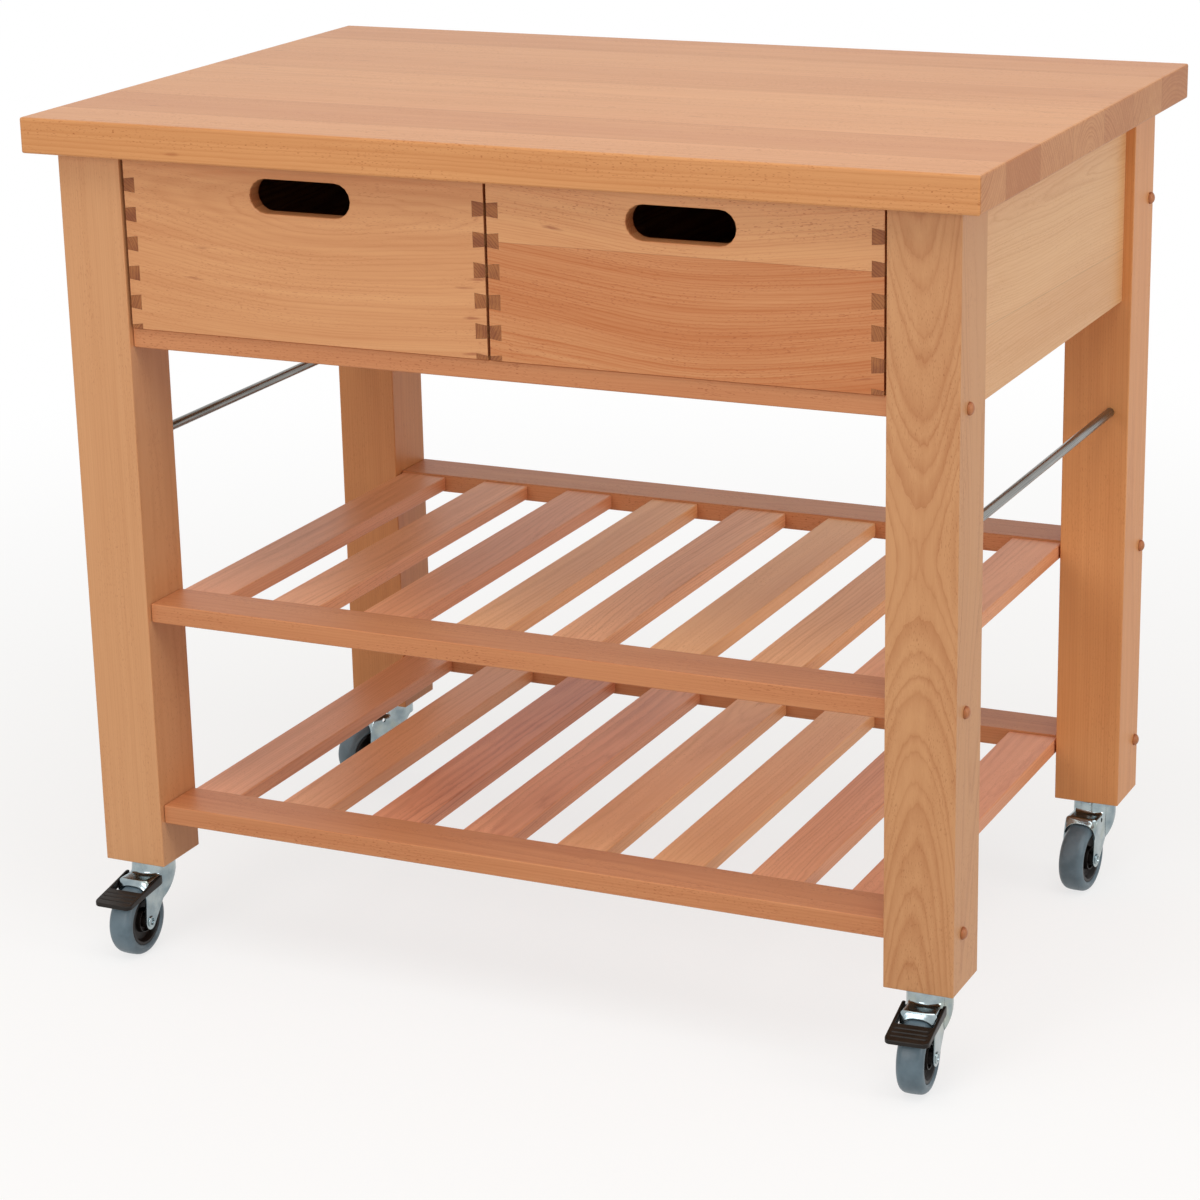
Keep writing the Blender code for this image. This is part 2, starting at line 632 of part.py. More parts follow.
def stem_shape():
    """The fixed part of a caster: a stem up into the leg, a flange under it and a pin through the dome."""
    stem, flange, head = STEM_DIAMETER / 2, FLANGE_DIAMETER / 2, KINGPIN_HEAD_DIAMETER / 2
    top = CASTER_HEIGHT + STEM_LENGTH
    head_top = DOME_TOP - FORK_SHEET - CLEARANCE
    profile = [
        (0, top), (stem - STEM_CHAMFER, top), (stem, top - STEM_CHAMFER),
        (stem, CASTER_HEIGHT - CLEARANCE), (flange, CASTER_HEIGHT - CLEARANCE),
        (flange, DOME_TOP + CLEARANCE), (stem, DOME_TOP + CLEARANCE), (stem, head_top), (head, head_top),
        (head, head_top - KINGPIN_HEAD_THICKNESS), (0, head_top - KINGPIN_HEAD_THICKNESS),
    ]
    return turned(profile, STEM_SIDES, closed=False)


def fork_section(half_width, crown):
    """The sheet across the fork as (y, z, depth in the sheet): a round-cornered channel, open below."""
    foot = AXLE_HEIGHT - 2 * EYE_RADIUS
    faces = []
    for depth in (0, FORK_SHEET):
        half, top, corner = half_width - depth, crown - depth, FORK_CORNER - depth
        turn = arc((half - corner, top - corner), corner, 0, math.pi / 2, CORNER_STEPS)
        right = [(half, foot)] + turn
        flat = [((half - corner) * (1 - 2 * i / CROWN_STEPS), top) for i in range(1, CROWN_STEPS)]
        path = right + flat + [(-y, z) for y, z in reversed(right)]
        faces.append([(y, z, depth) for y, z in path])
    return faces[0] + faces[1][::-1]


def fork_blank():
    """The pressed channel before trimming: the dome, its round front wall, the crown and a rolled lip."""
    dome = DOME_DIAMETER / 2
    join = math.asin(FORK_WIDTH / 2 / dome)
    rings = []
    for i in range(DOME_STEPS):
        angle = DOME_REAR_ANGLE + (join - DOME_REAR_ANGLE) * i / DOME_STEPS
        section = fork_section(dome * math.sin(angle), DOME_TOP)
        rings.append([(dome * math.cos(angle), y, z) for y, z, _ in section])
    for radius, top in ((dome, DOME_TOP), (dome + DOME_FLARE, CROWN_TOP)):
        section = fork_section(FORK_WIDTH / 2, top)
        rings.append([(math.sqrt((radius - depth) ** 2 - y ** 2), y, z) for y, z, depth in section])
    for i in range(LIP_STEPS + 1):
        turn = LIP_TURN * i / LIP_STEPS
        trail = LIP_START + LIP_RADIUS * math.sin(turn)
        section = fork_section(FORK_WIDTH / 2, CROWN_TOP - LIP_RADIUS * (1 - math.cos(turn)))
        lean = FORK_FRONT_LEAN / (CROWN_TOP - AXLE_HEIGHT)
        rings.append([(trail + lean * (CROWN_TOP - z), y, z) for y, z, _ in section])
    return skinned(rings)


def fork_outline():
    """The fork seen from the side: dome, sloping skirt and the round eye about the axle."""
    skirt = Vector((SKIRT_BREAK, CASTER_HEIGHT - SKIRT_DROP))
    eye = Vector((CASTER_TRAIL, AXLE_HEIGHT))
    to_skirt = skirt - eye
    tangent = math.atan2(to_skirt.y, to_skirt.x) + math.acos(EYE_RADIUS / to_skirt.length)
    rear = -DOME_DIAMETER / 2 - PAST_FACE
    above = DOME_TOP + PAST_FACE
    ahead = CASTER_TRAIL + EYE_RADIUS + 2 * PAST_FACE
    points = [(rear, above), (rear, skirt.y), tuple(skirt)]
    points += arc(eye, EYE_RADIUS, tangent, math.tau, EYE_STEPS)
    points += [(CASTER_TRAIL + EYE_RADIUS, AXLE_HEIGHT + PAST_FACE), (ahead, AXLE_HEIGHT + 3 * PAST_FACE)]
    return points + [(ahead, above)]


def axle_shape():
    """The axle bolt with a flat head outside each cheek, spun about the axle."""
    shaft, head = AXLE_DIAMETER / 2, AXLE_HEAD_DIAMETER / 2
    cheek = FORK_WIDTH / 2
    seat, tip = cheek - FORK_SHEET / 2, cheek + AXLE_HEAD_THICKNESS
    chamfer = AXLE_HEAD_THICKNESS / 3
    half = [(0, tip), (head - chamfer, tip), (head, tip - chamfer), (head, seat), (shaft, seat)]
    profile = half + [(radius, -height) for radius, height in reversed(half)]
    return turned(profile, AXLE_SIDES, closed=False, about="Y")


def make_fork(name, finishes, caster):
    """The fork: the blank trimmed to its side outline, bored for kingpin and brake, with its axle."""
    fork = finish(fork_blank(), name, finishes["zinc"], caster, smooth_angle=SMOOTH_ANGLE)
    width = FORK_WIDTH
    trim = cutter(prism(fork_outline(), "Y", -width, width), name + "_outline", caster)
    combine(fork, trim, "INTERSECT")
    bores = bmesh.new()
    add_bar(bores, (0, 0, DOME_TOP - FORK_SHEET - PAST_FACE), (0, 0, 1), FORK_SHEET + 2 * PAST_FACE,
            STEM_DIAMETER + 2 * CLEARANCE, STEM_SIDES)
    add_bar(bores, (PEDAL_PIVOT_TRAIL, -width, PEDAL_PIVOT_HEIGHT), (0, 1, 0), 2 * width,
            PEDAL_PIN_DIAMETER + 2 * CLEARANCE, PEDAL_PIN_SIDES)
    combine(fork, cutter(bores, name + "_bores", caster), "DIFFERENCE")
    axle = cutter(axle_shape(), name + "_axle", caster, (CASTER_TRAIL, 0, AXLE_HEIGHT))
    combine(fork, axle, "UNION")


def core_profile():
    """The wheel's core: bored hub, thin web and rim, from the hub's face out and back."""
    bore, hub = AXLE_DIAMETER / 2 + CLEARANCE, HUB_DIAMETER / 2
    rim = CORE_DIAMETER / 2
    hub_half, web_half, rim_half = FORK_INNER_HALF - HUB_SIDE_GAP, CORE_WEB / 2, CORE_WIDTH / 2
    half = [(bore, hub_half), (hub, hub_half), (hub, web_half), (rim - 2 * CORE_RIM, web_half),
            (rim - CORE_RIM, rim_half), (rim, rim_half)]
    return half + [(radius, -height) for radius, height in reversed(half)]


def tyre_profile():
    """The tyre: flat sides, round shoulders and a slightly crowned tread."""
    seat, tread = CORE_DIAMETER / 2 + CLEARANCE, WHEEL_DIAMETER / 2
    half = TYRE_WIDTH / 2
    shoulder = tread - TYRE_CROWN - TYRE_SHOULDER
    round_part = arc((shoulder, half - TYRE_SHOULDER), TYRE_SHOULDER, math.pi / 2, 0, TYRE_STEPS)
    upper = [(seat, CORE_WIDTH / 2), (seat + CORE_RIM, half)] + round_part
    return upper + [(tread, 0)] + [(radius, -height) for radius, height in reversed(upper)]


def pedal_line(trail, rear_drop, front_drop):
    """The height of a pedal edge at a place along it, straight from its rear to its front."""
    share = (trail - PEDAL_REAR) / (PEDAL_REACH - PEDAL_REAR)
    return CROWN_TOP - rear_drop - (front_drop - rear_drop) * share


def pedal_top(trail):
    """The height of the pedal's upper edge."""
    return pedal_line(trail, PEDAL_REAR_DROP, PEDAL_FRONT_DROP)


def tyre_top(trail):
    """The height of the tread above a place along the trail."""
    return AXLE_HEIGHT + math.sqrt((WHEEL_DIAMETER / 2) ** 2 - (trail - CASTER_TRAIL) ** 2)


def pedal_plan():
    """The pedal from above: two arms beside the fork and a wide tread with round front corners."""
    half = PEDAL_WIDTH / 2
    inner = FORK_WIDTH / 2 + PEDAL_SIDE_GAP
    corner = (PEDAL_REACH - PEDAL_CORNER, half - PEDAL_CORNER)
    right = [(PEDAL_REAR, inner), (PEDAL_REAR, half)]
    right += arc(corner, PEDAL_CORNER, math.pi / 2, 0, PEDAL_CORNER_STEPS)
    left = [(x, -y) for x, y in reversed(right)]
    return right + left + [(PEDAL_WINDOW_FRONT, -inner), (PEDAL_WINDOW_FRONT, inner)]


def pedal_side():
    """The pedal from the side: deep at the arms, thin at the front."""
    rear, front = PEDAL_REAR - PAST_FACE, PEDAL_REACH + PAST_FACE
    low_rear = PEDAL_REAR_DROP + PEDAL_REAR_DEPTH
    low_front = PEDAL_FRONT_DROP + PEDAL_FRONT_DEPTH
    return [(rear, pedal_top(rear)), (front, pedal_top(front)),
            (front, pedal_line(front, low_rear, low_front)), (rear, pedal_line(rear, low_rear, low_front))]


def pedal_pocket():
    """The hollow under the tread, which leaves the brake shoe standing just above the tyre."""
    shoe_rear, shoe_front = PEDAL_WINDOW_FRONT - PAST_FACE, PEDAL_WINDOW_FRONT + SHOE_LENGTH
    lip = PEDAL_REACH - PEDAL_FRONT_LIP
    below = AXLE_HEIGHT
    shoe = [(trail, tyre_top(trail) + SHOE_GAP) for trail in (shoe_rear, PEDAL_WINDOW_FRONT, shoe_front)]
    plate = [(trail, pedal_top(trail) - PEDAL_PLATE) for trail in (shoe_front, lip)]
    return [(shoe_rear, below)] + shoe + plate + [(lip, below)]


def tread_grooves(name, caster):
    """Shallow grip grooves across the tread."""
    shape = bmesh.new()
    middle = (PEDAL_WINDOW_FRONT + PEDAL_REACH) / 2
    for i in range(TREAD_GROOVES):
        trail = middle + (i - (TREAD_GROOVES - 1) / 2) * TREAD_GROOVE_PITCH
        low = pedal_top(trail) - TREAD_GROOVE_DEPTH
        reach = PEDAL_WIDTH / 2 - 2 * TREAD_GROOVE_WIDTH
        add_block(shape, (trail - TREAD_GROOVE_WIDTH / 2, -reach, low),
                  (trail + TREAD_GROOVE_WIDTH / 2, reach, low + PAST_FACE))
    return cutter(shape, name, caster)


def make_pedal(name, finishes, caster):
    """The brake pedal, with its origin on its pivot."""
    pivot = Vector((PEDAL_PIVOT_TRAIL, 0, PEDAL_PIVOT_HEIGHT))
    shape = prism(pedal_plan(), "Z", CROWN_TOP - PEDAL_REACH, CROWN_TOP + PEDAL_REACH)
    bmesh.ops.translate(shape, verts=shape.verts, vec=-pivot)
    pedal = finish(shape, name, finishes["pedal"], caster, pivot)
    side = prism(pedal_side(), "Y", -PEDAL_WIDTH, PEDAL_WIDTH)
    combine(pedal, cutter(side, name + "_side", caster), "INTERSECT")
    hollow = FORK_WIDTH / 2 - PEDAL_SIDE_GAP
    pocket = prism(pedal_pocket(), "Y", -hollow, hollow)
    combine(pedal, cutter(pocket, name + "_pocket", caster), "DIFFERENCE")
    combine(pedal, tread_grooves(name + "_grooves", caster), "DIFFERENCE")
    inner_end = FORK_INNER_HALF - CLEARANCE
    outer_end = (FORK_WIDTH / 2 + PEDAL_SIDE_GAP + PEDAL_WIDTH / 2) / 2
    for hand, sign in (("left", 1), ("right", -1)):
        pin = bmesh.new()
        add_bar(pin, (pivot.x, sign * inner_end, pivot.z), (0, sign, 0), outer_end - inner_end,
                PEDAL_PIN_DIAMETER, PEDAL_PIN_SIDES)
        combine(pedal, cutter(pin, f"{name}_pin_{hand}", caster), "UNION")


def make_caster(place, x, y, finishes, root):
    """A swivel caster under one leg, turned the way it trails on the floor."""
    name = "caster_" + place
    stem = finish(stem_shape(), name + "_stem", finishes["zinc"], root, (x, y, 0), SMOOTH_ANGLE)
    caster = empty(name, root, stem.location, math.radians(TRAIL_DIRECTIONS[place]))
    make_fork(name + "_fork", finishes, caster)
    axle = (CASTER_TRAIL, 0, AXLE_HEIGHT)
    core = turned(core_profile(), CORE_SIDES, closed=True, about="Y")
    finish(core, name + "_wheel", finishes["core"], caster, axle, SMOOTH_ANGLE)
    tyre = turned(tyre_profile(), TYRE_SIDES, closed=True, about="Y")
    finish(tyre, name + "_tyre", finishes["tyre"], caster, axle, SMOOTH_ANGLE)
    if place in BRAKED_CASTERS:
        make_pedal(name + "_brake_pedal", finishes, caster)


def outline_middle():
    """The middle of the trolley's outline from front to back, with the pedals that stand out in front."""
    reaches = [-TOP_DEPTH / 2]
    for place in BRAKED_CASTERS:
        turn = math.radians(TRAIL_DIRECTIONS[place])
        forward = (PEDAL_REACH - PEDAL_CORNER) * -math.sin(turn)
        sideways = (PEDAL_WIDTH / 2 - PEDAL_CORNER) * abs(math.cos(turn))
        reaches.append(LEG_PLACES[place][1] - forward - sideways - PEDAL_CORNER)
    return (min(reaches) + TOP_DEPTH / 2) / 2


def main():
    for old in list(bpy.data.objects):
        bpy.data.objects.remove(old, do_unlink=True)
    finishes = make_materials()
    root = empty("trolley", None, (0, -outline_middle(), 0))
    make_worktop(finishes, root)
    make_legs(finishes, root)
    make_side_panels(finishes, root)
    make_case(finishes, root)
    for side, sign in (("left", -1), ("right", 1)):
        make_drawer(side, sign * (DRAWER_GAP + DRAWER_WIDTH) / 2, finishes, root)
    for level, top in SHELF_HEIGHTS.items():
        make_shelf(level, top, finishes, root)
    make_towel_rods(finishes, root)
    for place, (x, y) in LEG_PLACES.items():
        make_caster(place, x, y, finishes, root)


main()
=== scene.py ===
"""A beech kitchen trolley on casters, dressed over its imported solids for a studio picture.

The boards keep their solids. Their grain is worked out in three dimensions, as rings about the heart of a
log, so the faces, edges and ends of a board agree. The casters, towel rods and bolt plugs are new surfaces:
grids of points worked out with numpy, placed by the boxes of the solids that they stand for or sit in.
"""
import functools
import math

import bmesh
import bpy
import numpy as np
from mathutils import Euler, Matrix, Vector


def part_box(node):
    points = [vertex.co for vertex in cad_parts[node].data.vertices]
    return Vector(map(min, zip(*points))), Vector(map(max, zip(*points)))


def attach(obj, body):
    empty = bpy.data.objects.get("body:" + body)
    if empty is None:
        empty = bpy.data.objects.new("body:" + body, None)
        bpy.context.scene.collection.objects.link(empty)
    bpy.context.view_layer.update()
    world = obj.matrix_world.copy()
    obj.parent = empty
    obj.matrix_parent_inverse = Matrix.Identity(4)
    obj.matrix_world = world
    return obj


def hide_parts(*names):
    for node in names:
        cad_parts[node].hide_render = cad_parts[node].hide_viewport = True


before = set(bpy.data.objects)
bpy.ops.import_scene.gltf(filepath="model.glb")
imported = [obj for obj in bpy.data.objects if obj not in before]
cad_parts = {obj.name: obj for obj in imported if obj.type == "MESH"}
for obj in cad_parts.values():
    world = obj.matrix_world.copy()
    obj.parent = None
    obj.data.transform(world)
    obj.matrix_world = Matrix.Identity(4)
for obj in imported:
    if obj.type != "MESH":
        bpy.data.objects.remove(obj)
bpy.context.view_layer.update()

# Caster sizes in metres: the main ones are the solids' own, and the rounds and lips are finer.
FORK_SHEET = 0.0022
FORK_WIDTH = 0.0365
FORK_CORNER = 0.0045
FORK_EASE = 0.0004
FORK_EASE_ANGLE = math.radians(50)
DOME_DIAMETER = 0.046
DOME_TOP = 0.097
DOME_ROUND = 0.0028
DOME_STEP = 0.0004
DOME_FLARE = 0.0012
CROWN_TOP = 0.0832
WALL_FOOT = 0.0036
LIP_START = 0.0403
LIP_RADIUS = 0.0028
LIP_TURN = math.radians(74)
LIP_FLANGE = 0.0042
LIP_ARCH = 0.015
FRONT_LEAN = 0.0055
SKIRT_HEIGHT = 0.0805
SKIRT_BREAK = -0.008
EYE_RADIUS = 0.0088
AXLE_DIAMETER = 0.008
AXLE_HEAD_DIAMETER = 0.013
AXLE_HEAD_THICKNESS = 0.003
STEM_DIAMETER = 0.012
STEM_CHAMFER = 0.001
FLANGE_DIAMETER = 0.038
KINGPIN_HEAD_DIAMETER = 0.020
KINGPIN_HEAD_THICKNESS = 0.0025
CLEARANCE = 0.0003
CORE_WIDTH = 0.024
CORE_WEB = 0.012
CORE_RIM = 0.0025
CORE_STEP = 0.0022
COLLAR_RADIUS = 0.0126
COLLAR_WALL = 0.0011
COLLAR_DRAFT = 0.0004
HUB_DIAMETER = 0.019
HUB_SIDE_GAP = 0.0007
TYRE_DEPTH = 0.011
TYRE_SHOULDER = 0.0075
TYRE_CROWN = 0.0007
TYRE_CROWN_ROUND = 0.05
TYRE_SIDE_GAP = 0.00225
TYRE_RIM_ROUND = 0.0009
TYRE_SEAT_ROUND = 0.0005
PEDAL_PIVOT_TRAIL = 0.027
PEDAL_PIVOT_HEIGHT = 0.0787
PEDAL_PIN_DIAMETER = 0.004
PEDAL_PIN_SEAT = 0.001
PEDAL_REAR = 0.0175
PEDAL_WINDOW_FRONT = 0.0575
PEDAL_REACH = 0.086
PEDAL_INNER_HALF = 0.01875
PEDAL_OUTER_HALF = 0.022
PEDAL_CORNER = 0.006
PEDAL_REAR_DROP = -0.0012
PEDAL_FRONT_DROP = 0.0120
PEDAL_REAR_DEPTH = 0.011
PEDAL_FRONT_DEPTH = 0.0045
PEDAL_PLATE = 0.004
PEDAL_SKIRT = 0.003
PEDAL_EDGE = 0.0009
SHOE_LENGTH = 0.0045
SHOE_GAP = 0.0006
TREAD_GROOVES = 3
TREAD_GROOVE_PITCH = 0.0065
TREAD_GROOVE_WIDTH = 0.0024
TREAD_GROOVE_DEPTH = 0.0009

# The axle's dished head, as shares of its radius.
AXLE_HEAD_FIT = 0.92
AXLE_DISH_RIM = 0.58
AXLE_DISH_FLOOR = 0.46

# The core's bead, in rim thicknesses in from the rim: where it rises from the web and where it is full.
BEAD_FOOT = 2.4
BEAD_TOP = 1.3

# Rounds of the turned pieces' corners, in the order of their profiles.
CORE_ROUNDS = (0, 0.0004, 0.0008, 0.0008, 0.0006, 0.0004, 0.0004, 0.001, 0.0014, 0.0007, 0.0005, 0)
AXLE_ROUNDS = (0, 0.0004, 0.0005, 0.0008, 0.0002, 0, 0)
STEM_ROUNDS = (0, 0, 0, 0, 0.0006, 0.0009, 0, 0, 0.0005, 0.0008, 0)

# Where the pedal is narrow, its edges, skirt and shoe are at most these shares of its width.
EDGE_SHARE = 0.3
SKIRT_SHARE = 0.4

# How far ahead of the axle the brake shoe follows the tyre, as a share of the wheel's radius.
SHOE_REACH = 0.9

# Plugs over the bolt holes in the legs' outer faces.
PLUG_DIAMETER = 0.0098
PLUG_DEPTH = 0.006
PLUG_CAP_DIAMETER = 0.0126
PLUG_CAP_GAP = 0.0002
PLUG_RIM = 0.0007
PLUG_CROWN = 0.0044
FRONT_BOLT_INSET = 0.025
REAR_BOLT_INSET = 0.012

# Towel rods between the legs; their ends are turned down to fit the holes.
TOWEL_BAR_DIAMETER = 0.010
TOWEL_BAR_GAP = 0.0002
TOWEL_BAR_EASE = 0.0003

# How finely the new surfaces are drawn.
SPIN_STEPS = 72
ROD_STEPS = 48
STEM_BORE_STEPS = 40
PLUG_STEPS = 28
PIN_STEPS = 24
ARC_STEPS = 6
PLUG_DOME_POINTS = 9
CHEEK_POINTS = 12
CROWN_POINTS = 25
DOME_ROWS = 18
BROW_ROWS = 12
WALL_ROWS = 6
CROWN_ROWS = 31
LIP_ROWS = 7
FLANGE_ROWS = 5
PEDAL_ARM_POINTS = 26
PEDAL_ARM_CROWDING = 1.6
PEDAL_SIDE_POINTS = 10
PEDAL_FRONT_POINTS = 9
PEDAL_EDGE_POINTS = 6
PEDAL_TOP_POINTS = 58
TREAD_BLEND_START = 4
TREAD_BLEND_POINTS = 6
MERGE_DISTANCE = 1e-6
SMOOTH_ANGLE = math.radians(38)

# Beech: how often each noise repeats in a metre along the fibres, across and through them.
RING_BEND = (2.2, 9.0, 9.0)
RING_FEATHER = (34.0, 190.0, 190.0)
FIBRE = (22.0, 1150.0, 1150.0)
STREAK = (3.0, 130.0, 130.0)
BROAD_STREAK = (1.7, 14.0, 14.0)
DASH = (260.0, 1250.0, 1250.0)
DASH_PATCH = (6.0, 45.0, 45.0)
END_BLOTCH = (2.0, 46.0, 46.0)
TICK_CELL = (10.0, 70.0, 70.0)
TICK_EDGE = (90.0, 500.0, 500.0)

# Beech: the shade through a ring, how uneven the rings are, and how far a ring is feathered in metres.
RING_SHADES = [(0.0, 0.80), (0.17, 0.14), (0.5, 0.0), (0.80, 0.42), (1.0, 1.0)]
RING_UNEVEN = (0.45, 1.0, 1.0)
RING_DRIFT = 2.4
RING_STRENGTH = (0.75, 0.35)
END_RING_GAIN = 1.1
FEATHER_DEPTH = 0.0020

# Beech: between which levels of its noise a mark comes up, and how ragged the ticks' edges are.
DASH_PEAK = (0.66, 0.76)
DASH_PATCH_PEAK = (0.36, 0.60)
TICK_SIZE = (0.10, 0.24)
TICK_CHANCE = (0.70, 0.75)
TICK_RAGGED = 0.16

# Beech: how much fibres and streaks shade it, the darkening of dashes and ticks, its roughness and relief.
FIBRE_SHADE = 0.30
STREAK_SHADE = 0.9
DASH_TINT = (222, 198, 184)
TICK_TINT = (196, 150, 128)
BEECH_ROUGHNESS = {"plain": 0.36, "fibre": 0.16, "end": 0.14, "dash": 0.08}
BEECH_RELIEF = {"fibre": 0.8, "ring": -0.5, "dash": -0.5}

# Boards: how far a stave's log may lie aside, below and along, a bend's reach, the grain and the polish.
LOG_ASIDE = 0.26
LOG_BELOW = 0.20
LOG_ABOVE = 0.08
LOG_LENGTH = 9.0
BEND_REACH = 0.06
GRAIN_STRENGTH = 0.2
GRAIN_DEPTH = 0.0004
POLISH_ROUGHNESS = 0.32

# Glued boards: the seams between staves, and how much more a stave's tone shows on its ends.
SEAM_HAIRLINE = (0.0001, 0.0005)
SEAM_STRENGTH = 0.35
SEAM_SHADE = 0.66
STAVE_END_GAIN = 0.5

# The worktop's front stave is this share of the width of the six behind it.
FRONT_STAVE = 0.7

# The slats' cuts are drawn by chance from this seed.
SLAT_SEED = 7

# How squarely a face must lie to an axis to be taken as an end or an edge.
FACE_START = 0.6
FACE_FULL = 0.95

# The camera, placed as the photograph was taken.
CAMERA_PLACE = (1.423, -3.0713, 1.434)
CAMERA_AZIMUTH = math.radians(25.28)
CAMERA_ELEVATION = math.radians(17.67)
CAMERA_ROLL = math.radians(-1.26)
CAMERA_LENS = 100.32
CAMERA_SENSOR = 36.0

FLOOR_HALF = 30.0
FLOOR_GLOW = 0.74
FLOOR_BOUNCE = 0.6
FLOOR_PAINT = 0.93
SHADOW_REACH = 2.6
WARM_FILL = (1.0, 0.93, 0.84, 1.0)
FILL_STRENGTH = 0.5
WHITE = (1.0, 1.0, 1.0, 1.0)

# The soft lights: where each stands, how wide it is and its power.
LAMPS = {
    "overhead_light": ((0.6, -1.4, 3.6), 2.6, 52.0),
    "front_light": ((-0.7, -3.8, 1.6), 1.5, 35.0),
    "right_light": ((3.6, -0.6, 1.6), 1.3, 25.5),
}
LAMP_AIM = (0.0, 0.0, 0.5)

CASTERS = ("front_left", "front_right", "rear_left", "rear_right")


# Surfaces

def surface(name, grids, closed=True):
    """One mesh object from grids of points, each (rows, columns, 3): a quad joins neighbouring points.

    Points that fall together at seams and poles are merged. A closed shell has its faces turned outwards.
    """
    points, quads, start = [], [], 0
    for grid in grids:
        rows, columns = grid.shape[:2]
        ids = start + np.arange(rows * columns).reshape(rows, columns)
        corners = (ids[:-1, :-1], ids[:-1, 1:], ids[1:, 1:], ids[1:, :-1])
        points.append(grid.reshape(-1, 3))
        quads.append(np.stack(corners, axis=-1).reshape(-1, 4))
        start += rows * columns
    mesh = bpy.data.meshes.new(name)
    mesh.from_pydata(np.concatenate(points).tolist(), [], np.concatenate(quads).tolist())
    work = bmesh.new()
    work.from_mesh(mesh)
    bmesh.ops.remove_doubles(work, verts=work.verts, dist=MERGE_DISTANCE)
    if closed:
        bmesh.ops.recalc_face_normals(work, faces=work.faces)
    work.to_mesh(mesh)
    work.free()
    return shown(name, mesh)


def shown(name, mesh):
    """An object for a mesh, shaded smooth except across sharp edges."""
    mesh.shade_smooth()
    mesh.set_sharp_from_angle(angle=SMOOTH_ANGLE)
    obj = bpy.data.objects.new(name, mesh)
    bpy.context.scene.collection.objects.link(obj)
    return obj


def filleted(corners, radii, closed=False):
    """A line through corners, each rounded by an arc of its radius that touches both of its sides."""
    corners = np.asarray(corners, float)
    count = len(corners)
    share = np.linspace(0, 1, ARC_STEPS + 1)[:, None]
    path = []
    for i, radius in enumerate(radii):
        corner = corners[i]
        if radius == 0 or (not closed and i in (0, count - 1)):
            path.append(corner[None])
            continue
        before = corners[i - 1] - corner
        after = corners[(i + 1) % count] - corner
        before /= np.linalg.norm(before)
        after /= np.linalg.norm(after)
        half = math.acos(np.clip(before @ after, -1, 1)) / 2
        middle = (before + after) / np.linalg.norm(before + after)
        centre = corner + middle * radius / math.sin(half)
        first = corner + before * radius / math.tan(half) - centre
        last = corner + after * radius / math.tan(half) - centre
        sweep = math.pi - 2 * half
        arc = (np.sin((1 - share) * sweep) * first + np.sin(share * sweep) * last) / math.sin(sweep)
        path.append(centre + arc)
    if closed:
        path.append(path[0][:1])
    return np.concatenate(path)


def mirrored(half_profile):
    """A half profile of (radius, height) with its mirror image below, as one line."""
    half_profile = np.asarray(half_profile, float)
    return np.concatenate([half_profile, half_profile[::-1] * (1, -1)])


def spun(profile, about, steps=SPIN_STEPS):
    """A profile of (radius, height) turned about an axis: each point runs round a circle at its height."""
    radius, height = np.asarray(profile, float).T[:, :, None]
    turn = np.linspace(0, 2 * math.pi, steps + 1)[None]
    first, second = radius * np.cos(turn), radius * np.sin(turn)
    level = height + 0 * turn
    order = {"X": (level, first, second), "Y": (first, level, second), "Z": (first, second, level)}
    return np.stack(order[about], axis=-1)


def round_bar(radius, low, high, about, steps):
    """A plain round bar: a rectangle from the axis out to the radius, turned about the axis."""
    return spun([(0, low), (radius, low), (radius, high), (0, high)], about, steps)


def edge_drop(inset, radius):
    """How far a rounded edge of a radius lies below its flat at a distance in from the rim."""
    return radius - np.sqrt(np.maximum(radius ** 2 - np.maximum(radius - inset, 0) ** 2, 0))


# Casters, worked out with x along the trail from the swivel axis, y sideways and z up from the floor

class Caster:
    """Where one caster stands: its swivel axis on the floor, its own axes and its wheel's sizes."""

    def __init__(self, place):
        stem_low, stem_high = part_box(f"caster_{place}_stem")
        tyre_low, tyre_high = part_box(f"caster_{place}_tyre")
        swivel = np.array((stem_low + stem_high) / 2)
        axle = np.array((tyre_low + tyre_high) / 2)
        trail = axle - swivel
        trail[2] = 0
        self.place = place
        self.trail = np.linalg.norm(trail)
        self.axle_height = axle[2]
        self.wheel_radius = tyre_high.z - axle[2]
        self.stem_top = stem_high.z
        along = trail / self.trail
        self.axes = np.array([along, np.cross((0, 0, 1), along), (0, 0, 1)])
        self.base = np.array([swivel[0], swivel[1], 0])

    def put(self, grid):
        """Points of the caster's own axes in the trolley's."""
        return self.base + np.asarray(grid) @ self.axes

    def matrix(self):
        """The same move as a matrix."""
        turn = Matrix(self.axes.T.tolist()).to_4x4()
        return Matrix.Translation(self.base.tolist()) @ turn

    def on_axle(self, profile):
        """A profile of (radius, height) turned about the wheel's axle."""
        return spun(profile, "Y") + (self.trail, 0, self.axle_height)

    def tyre_top(self, trail):
        """The tread's height above a place along the trail."""
        return self.axle_height + np.sqrt(self.wheel_radius ** 2 - (trail - self.trail) ** 2)


def tyre_grid(caster):
    """The tyre: its section, with flat sides, round shoulders and a crowned tread, turned about the axle."""
    seat = caster.wheel_radius - TYRE_DEPTH + CLEARANCE
    tread, half = caster.wheel_radius, fork_gap_half() - TYRE_SIDE_GAP
    corners = [(seat, CORE_WIDTH / 2), (seat + CORE_RIM, half), (tread - TYRE_CROWN, half), (tread, 0)]
    corners += [(radius, -height) for radius, height in reversed(corners[:-1])]
    side = (TYRE_SEAT_ROUND, TYRE_RIM_ROUND, TYRE_SHOULDER)
    radii = (*side, TYRE_CROWN_ROUND, *reversed(side))
    return caster.on_axle(filleted(corners, radii, closed=True))


def fork_gap_half():
    """Half the clear width between the fork's cheeks."""
    return FORK_WIDTH / 2 - FORK_SHEET


